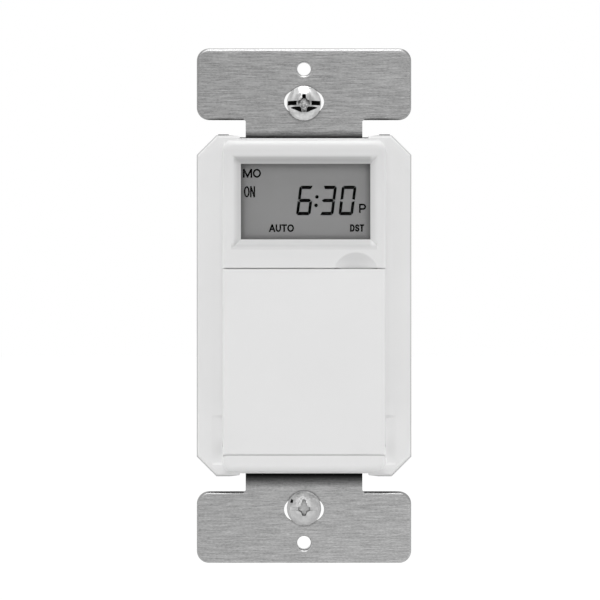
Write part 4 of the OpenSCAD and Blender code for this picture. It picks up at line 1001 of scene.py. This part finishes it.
lean = math.tan(math.radians(readout["slant"]))
for place, (digit, left) in enumerate(readout["digits"]):
    mesh = bmesh.new()
    for name, outline in digitOutlines().items():
        if name in litSegments[digit]:
            addPrism(mesh, [(left + x + z * lean, readout["footZ"] + z) for x, z in outline])
    inkPiece(f"readout_digit_{place + 1}", mesh)
mesh = bmesh.new()
for x, z in readout["colon"]:
    addPrism(mesh, oval(x, z, readout["colonRadius"], readout["colonRadius"]))
inkPiece("readout_colon", mesh)
for name, left, foot, tall, stroke, letters, gap in readout["words"]:
    mesh = bmesh.new()
    for letter, wide in letters:
        for line in letterStrokes[letter]:
            spots = [(left + stroke / 2 + x * (wide - stroke), foot + stroke / 2 + z * (tall - stroke))
                     for x, z in line]
            addRibbon(mesh, spots, stroke, letter in closedLetters)
        left += wide + gap
    inkPiece("readout_" + name, mesh)
print("readout drawn:", len(readout["digits"]), "digits,", len(readout["words"]), "words")


# Studio: pale floor, soft lights and the camera
studio = {
    "floorDrop": 0.12,  # m under the part
    "floorSize": 12.0,
    "floorGreys": ("#ececec", "#f2f2f2"),
    "paperFibre": 4,  # mm
    "floorGlow": 1.1,  # white that the camera sees in place of the paper
    "glowShare": 0.85,  # the rest is paper, which keeps the shadow
    "worldLight": 0.12,  # what the world gives the matt surfaces from every side
    "sideLight": 1.6,  # and what is added towards left and right, as in a light tent
    "cameraSpot": (-0.82, -429.0, 1.17),  # mm
    "focal": 125.8,  # mm
    "sensor": 36,
    "clip": (0.02, 50),  # m
    "lamps": [  # name, place in m, size in m, watts
        ("keySoftbox", (-0.1, -2.0, 1.55), 1.3, 16.0),
        ("topSoftbox", (0, -0.55, 2.45), 1.3, 24.0),
    ],
}


def seenDirectly(tree):  # 1 for camera, mirrored and see-through rays
    path = addNode(tree, "LightPath")
    seen = path.outputs["Is Camera Ray"]
    for ray in ("Is Glossy Ray", "Is Transmission Ray"):
        seen = addNode(tree, "Math", {}, {0: seen, 1: path.outputs[ray]}, operation="MAXIMUM")
    return seen


def whiteWorld():
    world = bpy.data.worlds.new("studioWorld")
    bpy.context.scene.world = world
    world.use_nodes = True
    tree = world.node_tree
    tree.nodes.clear()
    way = addNode(tree, "TexCoord").outputs["Generated"]
    side = addNode(tree, "SeparateXYZ", links={"Vector": way}).outputs["X"]
    turned = addNode(tree, "Math", {}, {0: side, 1: side}, operation="MULTIPLY")
    level = addNode(tree, "Math", {1: studio["sideLight"], 2: studio["worldLight"]},
                    {0: turned}, operation="MULTIPLY_ADD")
    soft = addNode(tree, "Background", {"Color": (1, 1, 1, 1)}, {"Strength": level})
    white = addNode(tree, "Background", {"Color": (1, 1, 1, 1), "Strength": 1})
    mix = addNode(tree, "MixShader", links={"Fac": seenDirectly(tree), 1: soft, 2: white})
    addNode(tree, "OutputWorld", links={"Surface": mix})


def paleFloor():
    size = studio["floorSize"] / 2
    level = cadBox[0].z - studio["floorDrop"]
    corners = [(x * size, y * size, level) for x, y in ((-1, -1), (1, -1), (1, 1), (-1, 1))]
    data = bpy.data.meshes.new("paleFloor")
    data.from_pydata(corners, [], [(0, 1, 2, 3)])
    floor = bpy.data.objects.new("paleFloor", data)
    bpy.context.scene.collection.objects.link(floor)
    material, tree, place = newMaterial("palePaper")  # matt paper, which shows as plain white
    fibre = addNode(tree, "TexNoise", {"Scale": perMm(studio["paperFibre"]), "Detail": 3}, {"Vector": place})
    colour = colourRamp(tree, fibre, list(zip(noiseSpan, studio["floorGreys"])))
    matt = addNode(tree, "BsdfDiffuse", links={"Color": colour})
    white = addNode(tree, "Emission", {"Color": (1, 1, 1, 1), "Strength": studio["floorGlow"]})
    share = addNode(tree, "Math", {1: studio["glowShare"]}, {0: seenDirectly(tree)}, operation="MULTIPLY")
    mix = addNode(tree, "MixShader", links={"Fac": share, 1: matt, 2: white})
    data.materials.append(finishMaterial(material, mix))


def addLamp(name, place, size, watts):
    lamp = bpy.data.lights.new(name, "AREA")
    lamp.shape = "SQUARE"
    lamp.size = size
    lamp.energy = watts
    holder = bpy.data.objects.new(name, lamp)
    holder.location = place
    holder.rotation_mode = "QUATERNION"
    holder.rotation_quaternion = (-Vector(place)).to_track_quat("-Z", "Y")
    bpy.context.scene.collection.objects.link(holder)


def addCamera():
    data = bpy.data.cameras.new("photoCamera")
    data.sensor_width = studio["sensor"]
    data.lens = studio["focal"]
    data.clip_start, data.clip_end = studio["clip"]
    camera = bpy.data.objects.new("photoCamera", data)
    camera.location = Vector(studio["cameraSpot"]) * mm
    camera.rotation_euler = (math.radians(90), 0, 0)
    bpy.context.scene.collection.objects.link(camera)
    bpy.context.scene.camera = camera


whiteWorld()
paleFloor()
for name, place, size, watts in studio["lamps"]:
    addLamp(name, place, size, watts)
addCamera()
bpy.context.scene.view_settings.view_transform = "Standard"
print("studio set")
